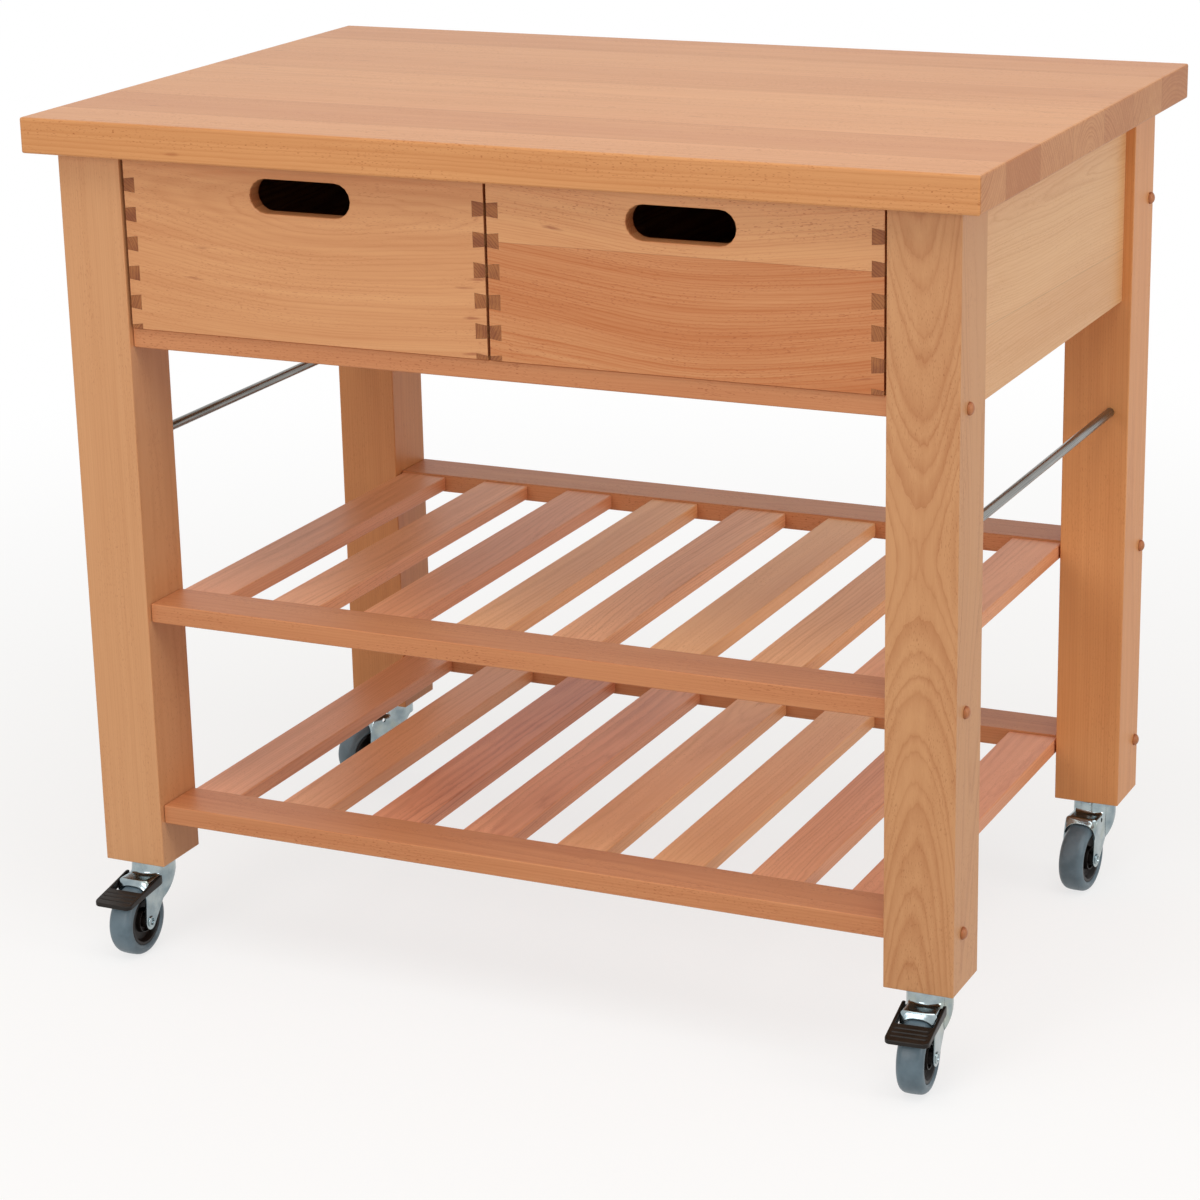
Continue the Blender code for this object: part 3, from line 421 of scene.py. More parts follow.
def core_grid(caster):
    """The wheel's core: hub with a raised collar, dished web and beaded rim, turned about the axle."""
    bore, hub = AXLE_DIAMETER / 2 + CLEARANCE, HUB_DIAMETER / 2
    rim = caster.wheel_radius - TYRE_DEPTH
    hub_half, web_half, rim_half = fork_gap_half() - HUB_SIDE_GAP, CORE_WEB / 2, CORE_WIDTH / 2
    collar, step = COLLAR_RADIUS, web_half + CORE_STEP
    half = filleted(
        [(bore, 0), (bore, hub_half), (hub - CORE_STEP, hub_half), (hub - CORE_STEP, step),
         (collar - COLLAR_WALL - COLLAR_DRAFT / 2, step), (collar - COLLAR_WALL, rim_half),
         (collar, rim_half), (collar + COLLAR_DRAFT, web_half), (rim - BEAD_FOOT * CORE_RIM, web_half),
         (rim - BEAD_TOP * CORE_RIM, rim_half), (rim, rim_half), (rim, 0)],
        CORE_ROUNDS)
    return caster.on_axle(mirrored(half))


def axle_grid(caster):
    """The axle: a shaft with a round head outside each cheek, dished in its middle, turned."""
    shaft, cheek = AXLE_DIAMETER / 2, FORK_WIDTH / 2
    head, rim, floor = np.array((AXLE_HEAD_FIT, AXLE_DISH_RIM, AXLE_DISH_FLOOR)) * AXLE_HEAD_DIAMETER / 2
    seat, tip = cheek - FORK_SHEET / 2, cheek + AXLE_HEAD_THICKNESS / 2
    dish = tip - AXLE_HEAD_THICKNESS
    half = filleted(
        [(0, dish), (floor, dish), (rim, tip), (head, tip), (head, seat), (shaft, seat), (shaft, 0)],
        AXLE_ROUNDS)
    return caster.on_axle(mirrored(half))


def stem_grid(caster):
    """The fixed stem: a pin up into the leg, a flange under it and a headed pin through the dome, turned."""
    stem, flange, head = STEM_DIAMETER / 2, FLANGE_DIAMETER / 2, KINGPIN_HEAD_DIAMETER / 2
    top, seat = caster.stem_top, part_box("leg_" + caster.place)[0].z - CLEARANCE
    dome, head_top = DOME_TOP + CLEARANCE, DOME_TOP - FORK_SHEET - CLEARANCE
    head_low = head_top - KINGPIN_HEAD_THICKNESS
    profile = filleted(
        [(0, top), (stem - STEM_CHAMFER, top), (stem, top - STEM_CHAMFER), (stem, seat), (flange, seat),
         (flange, dome), (stem, dome), (stem, head_top), (head, head_top), (head, head_low), (0, head_low)],
        STEM_ROUNDS)
    return spun(profile, "Z")


def fork_grid(caster):
    """The pressed fork's outer face, one row for each place along the trail from the dome's back to the lip.

    A row climbs one cheek from the fork's lower edge, crosses the top and goes down the other cheek. The top
    is the round dome, its front wall, the flat crown and the lip rolled down at the front. Its edges drop by
    a quarter circle of their distance in from the rim. The cheeks are ruled straight from the lower edge,
    which runs level behind, then down to the round eye about the axle and round to its front.
    """
    dome, half = DOME_DIAMETER / 2, FORK_WIDTH / 2
    join = math.sqrt(dome ** 2 - half ** 2)
    across = np.sin(np.linspace(math.pi / 2, -math.pi / 2, CROWN_POINTS))[None]
    side = half * across
    corner = edge_drop(half - np.abs(side), FORK_CORNER)
    bands = []

    angle = np.linspace(math.pi, math.atan2(half, join), DOME_ROWS)[:, None]
    y = dome * np.sin(angle) * across
    x = dome * np.cos(angle) + 0 * y
    bands.append((x, y, DOME_TOP - edge_drop(dome - np.hypot(x, y), DOME_ROUND)))

    reach = np.sin(np.linspace(0, math.pi / 2, BROW_ROWS)[1:, None])
    x = join + reach * (np.sqrt(dome ** 2 - side ** 2) - join)
    z = DOME_TOP - edge_drop(dome - np.hypot(x, side), DOME_ROUND)
    bands.append((x + DOME_STEP * reach, side + 0 * x, z))

    share = np.linspace(0, 1, WALL_ROWS)[1:, None]
    wall_top, wall_low = DOME_TOP - DOME_ROUND, CROWN_TOP + WALL_FOOT
    x = np.sqrt((dome + DOME_STEP + DOME_FLARE * share) ** 2 - side ** 2)
    z = wall_top + (wall_low - wall_top) * share - corner * share
    bands.append((x, side + 0 * x, z))

    turn = np.linspace(0, math.pi / 2, WALL_ROWS)[1:, None]
    foot_radius = dome + DOME_STEP + DOME_FLARE + WALL_FOOT * (1 - np.cos(turn))
    x = np.sqrt(foot_radius ** 2 - side ** 2)
    bands.append((x, side + 0 * x, CROWN_TOP + WALL_FOOT * (1 - np.sin(turn)) - corner))

    share = np.linspace(0, 1, CROWN_ROWS)[1:, None]
    last = bands[-1][0][-1:]
    x = last + (LIP_START - last) * share
    lean = FRONT_LEAN / (CROWN_TOP - caster.axle_height)
    bands.append((x + lean * corner * share, side + 0 * x, CROWN_TOP - corner + 0 * x))

    roll, rest = np.linspace(0, LIP_TURN, LIP_ROWS)[1:], np.linspace(0, LIP_FLANGE, FLANGE_ROWS)[1:]
    turn = np.concatenate([roll, np.full_like(rest, LIP_TURN)])[:, None]
    flange = np.concatenate([np.zeros_like(roll), rest])[:, None]
    share = np.linspace(0, 1, len(turn) + 1)[1:, None]
    arch = FORK_CORNER + (LIP_ARCH - FORK_CORNER) * np.sin(share * math.pi / 2)
    corner = edge_drop(half - np.abs(side), arch)
    z = CROWN_TOP - LIP_RADIUS * (1 - np.cos(turn)) - flange * math.sin(LIP_TURN) - corner
    x = LIP_START + LIP_RADIUS * np.sin(turn) + flange * math.cos(LIP_TURN) + lean * (CROWN_TOP - z)
    bands.append((x, side + 0 * x, z))

    top_x, top_y, top_z = (np.concatenate([band[i] for band in bands]) for i in range(3))
    foot_x, foot_z = fork_lower_edge(caster, top_x[:, 0], [len(band[0]) for band in bands])
    climb = np.linspace(0, 1, CHEEK_POINTS)[None, :-1]
    right_x = foot_x[:, None] + (top_x[:, :1] - foot_x[:, None]) * climb
    right_z = foot_z[:, None] + (top_z[:, :1] - foot_z[:, None]) * climb
    right_y = top_y[:, :1] + 0 * climb
    x = np.concatenate([right_x, top_x, right_x[:, ::-1]], axis=1)
    y = np.concatenate([right_y, top_y, -right_y], axis=1)
    z = np.concatenate([right_z, top_z, right_z[:, ::-1]], axis=1)
    return np.stack([x, y, z], axis=-1)


def fork_lower_edge(caster, trail, rows):
    """The cheek's lower edge, row by row: level, then a slope that touches the eye, then round the eye."""
    skirt = np.array((SKIRT_BREAK, SKIRT_HEIGHT))
    eye = np.array((caster.trail, caster.axle_height))
    away = skirt - eye
    touch = math.atan2(away[1], away[0]) + math.acos(EYE_RADIUS / np.linalg.norm(away))
    touch_point = eye + EYE_RADIUS * np.array((math.cos(touch), math.sin(touch)))
    slope = (touch_point[1] - skirt[1]) / (touch_point[0] - skirt[0])
    straight_rows = sum(rows[:4])
    foot_x = trail[:straight_rows]
    foot_z = SKIRT_HEIGHT + slope * np.maximum(foot_x - SKIRT_BREAK, 0)
    start = np.array((foot_x[-1], foot_z[-1]))
    line = np.linalg.norm(touch_point - start)
    whole = line + EYE_RADIUS * (2 * math.pi - touch)
    run = np.linspace(0, whole, rows[4] + rows[5] + 1)[1:]
    on_line = np.minimum(run / line, 1)[:, None]
    bend = touch + np.maximum(run - line, 0) / EYE_RADIUS
    circle = eye + EYE_RADIUS * np.stack([np.cos(bend), np.sin(bend)], axis=-1)
    rest = np.where(on_line < 1, start + (touch_point - start) * on_line, circle)
    return np.concatenate([foot_x, rest[:, 0]]), np.concatenate([foot_z, rest[:, 1]])


def fork_mesh(caster):
    """The fork's sheet: its outer face given the sheet's thickness, bored for the pins, edges eased."""
    sheet = surface("fork_blank", [fork_grid(caster)], closed=False)
    pin_hole = round_bar(PEDAL_PIN_DIAMETER / 2 + CLEARANCE, -FORK_WIDTH, FORK_WIDTH, "Y", PIN_STEPS)
    stem_hole = round_bar(STEM_DIAMETER / 2 + CLEARANCE, CROWN_TOP, 2 * DOME_TOP, "Z", STEM_BORE_STEPS)
    bores = surface("fork_bores", [pin_hole + (PEDAL_PIVOT_TRAIL, 0, PEDAL_PIVOT_HEIGHT), stem_hole])
    wall = sheet.modifiers.new("sheet", "SOLIDIFY")
    wall.thickness = FORK_SHEET
    wall.offset = -1
    wall.use_even_offset = True
    bore = sheet.modifiers.new("bores", "BOOLEAN")
    bore.object = bores
    bore.operation = "DIFFERENCE"
    ease = sheet.modifiers.new("eased", "BEVEL")
    ease.width = FORK_EASE
    ease.segments = 2
    ease.limit_method = "ANGLE"
    ease.angle_limit = FORK_EASE_ANGLE
    view = bpy.context.evaluated_depsgraph_get()
    mesh = bpy.data.meshes.new_from_object(sheet.evaluated_get(view))
    for spent in (sheet, bores):
        bpy.data.objects.remove(spent)
    return mesh


def pedal_line(trail, rear_drop, front_drop):
    """A straight edge of the pedal in side view, by its drops below the crown at the rear and the front."""
    share = (trail - PEDAL_REAR) / (PEDAL_REACH - PEDAL_REAR)
    return CROWN_TOP - rear_drop - (front_drop - rear_drop) * share


def tread_groove(trail, side):
    """How deep the grip grooves are at a place: smooth dips across the tread that fade out at its sides."""
    middle = (PEDAL_WINDOW_FRONT + PEDAL_REACH) / 2
    places = middle + (np.arange(TREAD_GROOVES) - (TREAD_GROOVES - 1) / 2) * TREAD_GROOVE_PITCH
    away = np.clip((trail[..., None] - places) * 2 / TREAD_GROOVE_WIDTH, -1, 1)
    dip = ((1 + np.cos(math.pi * away)) / 2).sum(axis=-1)
    reach = PEDAL_OUTER_HALF - 2 * TREAD_GROOVE_WIDTH
    fade = np.clip((reach - np.abs(side)) / TREAD_GROOVE_WIDTH + 1, 0, 1)
    return TREAD_GROOVE_DEPTH * np.minimum(dip, 1) * fade


def plan_points(x, y):
    """Points seen from above; where one of x and y is a single value, the points share it."""
    return np.stack(np.broadcast_arrays(x, y), axis=-1)


def pedal_plan():
    """The pedal's inner and outer edges from above, point for point, from one arm's end to the other's.

    The outer edge runs along the arm, round a quarter circle and across the front. The inner edge runs along
    the arm and across the window. An arm's points crowd towards the tread by a power of their share.
    """
    share = np.linspace(1, 0, PEDAL_ARM_POINTS) ** PEDAL_ARM_CROWDING
    arm = PEDAL_WINDOW_FRONT - (PEDAL_WINDOW_FRONT - PEDAL_REAR) * share
    straight = np.linspace(PEDAL_WINDOW_FRONT, PEDAL_REACH - PEDAL_CORNER, PEDAL_SIDE_POINTS)[1:]
    turn = np.linspace(math.pi / 2, 0, PEDAL_FRONT_POINTS)[1:]
    front = np.linspace(PEDAL_OUTER_HALF - PEDAL_CORNER, 0, PEDAL_FRONT_POINTS)[1:]
    bend_x = PEDAL_REACH - PEDAL_CORNER + PEDAL_CORNER * np.cos(turn)
    bend_y = PEDAL_OUTER_HALF - PEDAL_CORNER + PEDAL_CORNER * np.sin(turn)
    outer = np.concatenate([
        plan_points(arm, PEDAL_OUTER_HALF), plan_points(straight, PEDAL_OUTER_HALF),
        plan_points(bend_x, bend_y), plan_points(PEDAL_REACH, front)])
    along = np.linspace(0, 1, len(outer) - len(arm) + 1)[1:]
    window = plan_points(PEDAL_WINDOW_FRONT, PEDAL_INNER_HALF * (1 - along))
    inner = np.concatenate([plan_points(arm, PEDAL_INNER_HALF), window])
    return [np.concatenate([edge, edge[-2::-1] * (1, -1)]) for edge in (inner, outer)]


def pedal_grid(caster):
    """The brake pedal: a section carried round from one arm, across the tread, to the other arm.

    The section runs over the top from the inner edge to the outer, down a skirt, under the plate, down the
    brake shoe above the tyre and back up. Each stretch of it has its distance from the inner edge and its
    lift, and its corners are quarter circles. Both arms end round in side view and close to a point.
    """
    inner, outer = pedal_plan()
    count = len(inner)
    middle = (inner + outer) / 2
    inner[[0, -1]] = middle[[0, -1]]
    outer[[0, -1]] = middle[[0, -1]]
    span = np.linalg.norm(outer - inner, axis=1)[:, None]
    order = np.minimum(np.arange(count), np.arange(count)[::-1])
    tread = np.clip((order - PEDAL_ARM_POINTS + TREAD_BLEND_START) / TREAD_BLEND_POINTS, 0, 1)[:, None]
    edge = np.minimum(PEDAL_EDGE, EDGE_SHARE * span)
    skirt = np.minimum(PEDAL_SKIRT, SKIRT_SHARE * span)
    shoe = np.minimum(SHOE_LENGTH, SKIRT_SHARE * span)
    quarter = np.linspace(0, math.pi / 2, PEDAL_EDGE_POINTS)[None]
    sine, cosine = np.sin(quarter), np.cos(quarter)
    flat = np.linspace(0, 1, PEDAL_TOP_POINTS)[None, 1:-1]
    level = 0 * edge
    section = [
        ("top", edge * (1 - cosine), edge * sine),
        ("tread", edge + (span - 2 * edge) * flat, edge + 0 * flat),
        ("top", span - edge + edge * sine, edge * cosine),
        ("skirt", span - edge + edge * cosine, edge * (1 - sine)),
        ("skirt", span - skirt, level),
        ("under", span - skirt, level),
        ("under", shoe, level),
        ("shoe", shoe, level),
        ("shoe", edge * (1 - sine), edge * (1 - cosine)),
    ]
    parts, columns, lifts = zip(*section)
    part = np.repeat(parts, [column.shape[1] for column in columns])
    away, lift = np.concatenate(columns, axis=1), np.concatenate(lifts, axis=1)
    share = np.divide(away, span, out=np.zeros_like(away), where=span > 0)
    plan = inner[:, None] + (outer - inner)[:, None] * share[..., None]
    trail, side = plan[..., 0], plan[..., 1]

    top = pedal_line(trail, PEDAL_REAR_DROP, PEDAL_FRONT_DROP)
    low = pedal_line(trail, PEDAL_REAR_DROP + PEDAL_REAR_DEPTH, PEDAL_FRONT_DROP + PEDAL_FRONT_DEPTH)
    depth = (top - low) / 2
    end = np.clip((trail - PEDAL_REAR) / depth, 0, 1)
    pinch = np.sqrt(1 - (1 - end) ** 2)
    centre = (top + low) / 2
    top, low = centre + depth * pinch, centre - depth * pinch
    under = low + (np.maximum(top - PEDAL_PLATE, low) - low) * tread
    over_tyre = np.clip(trail, caster.trail, caster.trail + SHOE_REACH * caster.wheel_radius)
    shoe_low = low + (np.maximum(caster.tyre_top(over_tyre) + SHOE_GAP, low) - low) * tread
    groove = tread_groove(trail, side) * (part == "tread") * tread
    z = np.select([part == "skirt", part == "under", part == "shoe"],
                  [low + lift * pinch, under, shoe_low + lift * pinch],
                  top + (lift - edge) * pinch - groove)
    grid = np.stack([trail, side, z], axis=-1)
    return np.concatenate([grid, grid[:, :1]], axis=1)


def pedal_pin_grids():
    """The pedal's two pivot pins, each a short turned bar from inside a cheek to the arm outside it."""
    radius = PEDAL_PIN_DIAMETER / 2
    bar = round_bar(radius, fork_gap_half() - CLEARANCE, PEDAL_INNER_HALF + PEDAL_PIN_SEAT, "Y", PIN_STEPS)
    place = (PEDAL_PIVOT_TRAIL, 0, PEDAL_PIVOT_HEIGHT)
    return bar + place, bar * (1, -1, 1) + place


# Paint

def paint(*levels):
    """A colour from screen levels of 0 to 255, as linear light."""
    share = np.asarray(levels) / 255
    linear = np.where(share <= 0.04045, share / 12.92, ((share + 0.055) / 1.055) ** 2.4)
    return (*linear.tolist(), 1.0)


class Nodes:
    """A node tree with a short call for each kind of node used here; a call gives the node's output."""

    def __init__(self, tree):
        self.tree = tree

    def add(self, kind, **settings):
        node = self.tree.nodes.new(kind)
        for key, value in settings.items():
            setattr(node, key, value)
        return node

    def feed(self, socket, value):
        if isinstance(value, bpy.types.NodeSocket):
            self.tree.links.new(value, socket)
        else:
            socket.default_value = value

    def fill(self, node, *values):
        for socket, value in zip(node.inputs, values):
            self.feed(socket, value)
        return node.outputs[0]

    def place(self):
        return self.add("ShaderNodeTexCoord").outputs["Object"]

    def math(self, operation, *values, clamp=False):
        return self.fill(self.add("ShaderNodeMath", operation=operation, use_clamp=clamp), *values)

    def times(self, *values):
        return functools.reduce(functools.partial(self.math, "MULTIPLY"), values)

    def plus(self, *values):
        return functools.reduce(functools.partial(self.math, "ADD"), values)

    def scaled(self, value, factor, start):
        return self.math("MULTIPLY_ADD", value, factor, start)

    def vector(self, operation, *values):
        node = self.add("ShaderNodeVectorMath", operation=operation)
        self.fill(node, *values)
        return node.outputs["Value" if operation in ("LENGTH", "DOT_PRODUCT") else "Vector"]

    def split(self, vector):
        node = self.add("ShaderNodeSeparateXYZ")
        self.feed(node.inputs[0], vector)
        return node.outputs

    def join(self, *values):
        return self.fill(self.add("ShaderNodeCombineXYZ"), *values)

    def noise(self, vector, stretch, detail=2.0, roughness=0.5, output="Fac"):
        node = self.add("ShaderNodeTexNoise", noise_dimensions="3D")
        self.feed(node.inputs["Vector"], self.vector("MULTIPLY", vector, stretch))
        node.inputs["Scale"].default_value = 1.0
        node.inputs["Detail"].default_value = detail
        node.inputs["Roughness"].default_value = roughness
        return node.outputs[output]

    def chance(self, value):
        node = self.add("ShaderNodeTexWhiteNoise", noise_dimensions="1D")
        self.feed(node.inputs["W"], value)
        return node.outputs

    def cells(self, vector, stretch):
        node = self.add("ShaderNodeTexVoronoi", voronoi_dimensions="3D", feature="F1")
        self.feed(node.inputs["Vector"], self.vector("MULTIPLY", vector, stretch))
        node.inputs["Scale"].default_value = 1.0
        return node.outputs["Distance"], self.split(node.outputs["Color"])[0]

    def between(self, value, low, high, start=0.0, end=1.0):
        node = self.add("ShaderNodeMapRange", interpolation_type="SMOOTHSTEP")
        return self.fill(node, value, low, high, start, end)

    def ramp(self, value, stops):
        node = self.add("ShaderNodeValToRGB")
        ramp = node.color_ramp
        while len(ramp.elements) < len(stops):
            ramp.elements.new(1.0)
        for element, (place, level) in zip(ramp.elements, stops):
            element.position = place
            element.color = (level, level, level, 1.0)
        self.feed(node.inputs[0], value)
        return node.outputs[0]

    def mix(self, factor, first, second, blend="MIX"):
        node = self.add("ShaderNodeMix", data_type="RGBA", blend_type=blend)
        for index, value in ((0, factor), (6, first), (7, second)):
            self.feed(node.inputs[index], value)
        return node.outputs[2]

    def group(self, tree, **values):
        node = self.add("ShaderNodeGroup", node_tree=tree)
        for key, value in values.items():
            self.feed(node.inputs[key.replace("_", " ").title()], value)
        return node.outputs

    def relief(self, shader, height, strength, depth):
        node = self.add("ShaderNodeBump")
        node.inputs["Strength"].default_value = strength
        node.inputs["Distance"].default_value = depth
        self.feed(node.inputs["Height"], height)
        self.feed(shader["Normal"], node.outputs[0])


def new_group(name, inputs, outputs):
    """A shader node group with named sockets; a colour, value or vector by the letter given."""
    kinds = {"c": "NodeSocketColor", "v": "NodeSocketFloat", "p": "NodeSocketVector"}
    tree = bpy.data.node_groups.new(name, "ShaderNodeTree")
    for label, kind in inputs:
        tree.interface.new_socket(name=label, in_out="INPUT", socket_type=kinds[kind])
    for label, kind in outputs:
        tree.interface.new_socket(name=label, in_out="OUTPUT", socket_type=kinds[kind])
    nodes = Nodes(tree)
    return tree, nodes, nodes.add("NodeGroupInput").outputs, nodes.add("NodeGroupOutput").inputs


def beech_figure_group():
    """Beech in three dimensions, with the log's heart along x.

    A ring is the distance from the heart, bent by slow noise and feathered by quick noise, over the ring
    width. Each ring darkens to its end and starts pale again, more or less strongly ring by ring, and end
    grain shows it most. Long thin noise gives fibres and streaks. Short dark dashes along the fibres, where
    rays meet the face, are the peaks of a fine noise and come in patches. Ticks are small brown marks, each
    about the nearest point of a sparse cell.
    """
    tree, nodes, given, out = new_group(
        "beech_figure",
        [("Place", "p"), ("End Grain", "v"), ("Tone", "v"), ("Pale", "c"), ("Deep", "c"),
         ("Ring Width", "v"), ("Ring Depth", "v"), ("Wander", "v"), ("Streaks", "v"), ("Flecks", "v"),
         ("Ticks", "v"), ("Blotch", "v"), ("End Tint", "c")],
        [("Color", "c"), ("Roughness", "v"), ("Height", "v")])
    place, end = given["Place"], given["End Grain"]
    bend = nodes.noise(place, RING_BEND, detail=1.5, output="Color")
    bend = nodes.vector("SUBTRACT", bend, (0.5, 0.5, 0.5))
    bend = nodes.vector("MULTIPLY", bend, nodes.join(0.0, given["Wander"], given["Wander"]))
    bent = nodes.split(nodes.vector("ADD", place, bend))
    radius = nodes.vector("LENGTH", nodes.join(0.0, bent[1], bent[2]))
    feather = nodes.noise(place, RING_FEATHER)
    radius = nodes.plus(radius, nodes.scaled(feather, FEATHER_DEPTH, -FEATHER_DEPTH / 2))
    count = nodes.math("DIVIDE", radius, given["Ring Width"])
    uneven = nodes.noise(nodes.join(count, 0.0, 0.0), RING_UNEVEN, detail=1.0)
    count = nodes.plus(count, nodes.times(uneven, RING_DRIFT))
    ring = nodes.ramp(nodes.math("FRACT", count), RING_SHADES)
    strength = nodes.scaled(nodes.chance(nodes.math("FLOOR", count))[0], *RING_STRENGTH)
    ring = nodes.times(ring, strength, given["Ring Depth"], nodes.scaled(end, END_RING_GAIN, 1.0))

    fibre = nodes.noise(place, FIBRE, roughness=0.6)
    streak = nodes.noise(place, STREAK)
    broad = nodes.noise(place, BROAD_STREAK, detail=1.0)
    dash = nodes.between(nodes.noise(place, DASH, detail=0.0), *DASH_PEAK)
    patch = nodes.between(nodes.noise(place, DASH_PATCH, detail=1.0), *DASH_PATCH_PEAK)
    dash = nodes.times(dash, patch, given["Flecks"])
    blotch = nodes.scaled(nodes.noise(place, END_BLOTCH, detail=1.0), 2.0, -1.0)
    blotch = nodes.times(blotch, given["Blotch"], end)
    ragged = nodes.noise(place, TICK_EDGE, detail=1.0)
    away, tint = nodes.cells(place, TICK_CELL)
    tick = nodes.between(nodes.scaled(ragged, TICK_RAGGED, away), *TICK_SIZE, 1.0, 0.0)
    few = nodes.between(tint, *TICK_CHANCE)
    tick = nodes.times(tick, few, nodes.math("SUBTRACT", 1.0, end), given["Ticks"])

    slow = nodes.scaled(streak, STREAK_SHADE, nodes.scaled(broad, STREAK_SHADE, -STREAK_SHADE))
    fine = nodes.scaled(fibre, FIBRE_SHADE, -FIBRE_SHADE / 2)
    shade = nodes.plus(fine, nodes.times(slow, given["Streaks"]), ring, blotch)
    shade = nodes.math("ADD", shade, given["Tone"], clamp=True)
    colour = nodes.mix(shade, given["Pale"], given["Deep"])
    dark = nodes.mix(1.0, given["Deep"], paint(*DASH_TINT), blend="MULTIPLY")
    colour = nodes.mix(dash, colour, dark)
    knot = nodes.mix(1.0, given["Deep"], paint(*TICK_TINT), blend="MULTIPLY")
    colour = nodes.mix(tick, colour, knot)
    end_tint = nodes.mix(end, WHITE, given["End Tint"])
    nodes.feed(out["Color"], nodes.mix(1.0, colour, end_tint, blend="MULTIPLY"))

    rough = nodes.scaled(fibre, BEECH_ROUGHNESS["fibre"], BEECH_ROUGHNESS["plain"])
    rough = nodes.scaled(end, BEECH_ROUGHNESS["end"], rough)
    nodes.feed(out["Roughness"], nodes.scaled(dash, BEECH_ROUGHNESS["dash"], rough))
    height = nodes.scaled(ring, BEECH_RELIEF["ring"], nodes.times(fibre, BEECH_RELIEF["fibre"]))
    nodes.feed(out["Height"], nodes.scaled(dash, BEECH_RELIEF["dash"], height))
    return tree


def glued_staves_group():
    """A board glued up from staves side by side along y: each is cut from its own log and has its own tone.

    The stave's number is the whole part of y over the stave width. Chance by that number sets how far its
    log's heart lies off to the side and below, and where along the log it was cut. The tone is chance too,
    and can rise by the number. The seam is a hairline between.
    """
    tree, nodes, given, out = new_group(
        "glued_staves",
        [("Place", "p"), ("Stave", "v"), ("Shift", "v"), ("Seed", "v"), ("Contrast", "v"), ("Rise", "v")],
        [("Place", "p"), ("Tone", "v"), ("Seam", "v")])
    x, y, z = nodes.split(given["Place"])
    across = nodes.math("DIVIDE", nodes.plus(y, given["Shift"]), given["Stave"])
    number = nodes.math("FLOOR", across)
    within = nodes.math("SUBTRACT", nodes.math("SUBTRACT", across, number), 0.5)
    chance = nodes.chance(nodes.plus(number, given["Seed"]))
    first, second, third = nodes.split(chance[1])
    aside = nodes.math("SUBTRACT", first, 0.5)
    beside = nodes.scaled(aside, LOG_ASIDE, nodes.times(within, given["Stave"]))
    below = nodes.plus(z, nodes.scaled(second, LOG_BELOW, -LOG_ABOVE))
    along = nodes.scaled(third, LOG_LENGTH, x)
    nodes.feed(out["Place"], nodes.join(along, beside, below))
    tone = nodes.times(nodes.math("SUBTRACT", third, 0.5), given["Contrast"])
    nodes.feed(out["Tone"], nodes.scaled(number, given["Rise"], tone))
    edge = nodes.times(nodes.math("SUBTRACT", 0.5, nodes.math("ABSOLUTE", within)), given["Stave"])
    nodes.feed(out["Seam"], nodes.between(edge, *SEAM_HAIRLINE, 1.0, 0.0))
    return tree


def bowed_log_group():
    """A log with one bend: its heart moves aside and into the board along a hyperbola.

    Beside the bend the heart runs straight, by the slopes given, and a round stretch joins the two sides.
    """
    tree, nodes, given, out = new_group(
        "bowed_log", [("Place", "p"), ("Along", "v"), ("Side", "v"), ("Face", "v")], [("Place", "p")])
    square = nodes.scaled(given["Along"], given["Along"], BEND_REACH ** 2)
    away = nodes.math("SUBTRACT", nodes.math("SQRT", square), BEND_REACH)
    slopes = nodes.join(0.0, given["Side"], given["Face"])
    move = nodes.vector("MULTIPLY", slopes, nodes.join(away, away, away))
    nodes.feed(out["Place"], nodes.vector("ADD", given["Place"], move))
    return tree


def cloudy_group():
    """Two sizes of soft noise for a surface that is never quite even: broad clouds and a fine speckle."""
    tree, nodes, given, out = new_group(
        "uneven_finish", [("Place", "p"), ("Broad", "v"), ("Fine", "v")],
        [("Cloud", "v"), ("Speckle", "v")])
    for label, size, detail in (("Cloud", "Broad", 3.0), ("Speckle", "Fine", 1.0)):
        size = nodes.join(given[size], given[size], given[size])
        nodes.feed(out[label], nodes.noise(given["Place"], size, detail=detail))
    return tree


BEECH_FIGURE = beech_figure_group()
GLUED_STAVES = glued_staves_group()
BOWED_LOG = bowed_log_group()
UNEVEN_FINISH = cloudy_group()


def new_material(name):
    """A material with its Principled shader and node calls."""
    material = bpy.data.materials.new(name)
    material.use_nodes = True
    tree = material.node_tree
    return material, Nodes(tree), tree.nodes["Principled BSDF"].inputs


# Board axes as rows: along the grain, across the width, through the thickness.
GRAIN_X_FLAT = ((1, 0, 0), (0, 1, 0), (0, 0, 1))
GRAIN_X_UPRIGHT = ((1, 0, 0), (0, 0, 1), (0, -1, 0))
GRAIN_Y_FLAT = ((0, 1, 0), (-1, 0, 0), (0, 0, 1))
GRAIN_Y_UPRIGHT = ((0, 1, 0), (0, 0, 1), (1, 0, 0))
GRAIN_Z = ((0, 0, 1), (1, 0, 0), (0, 1, 0))


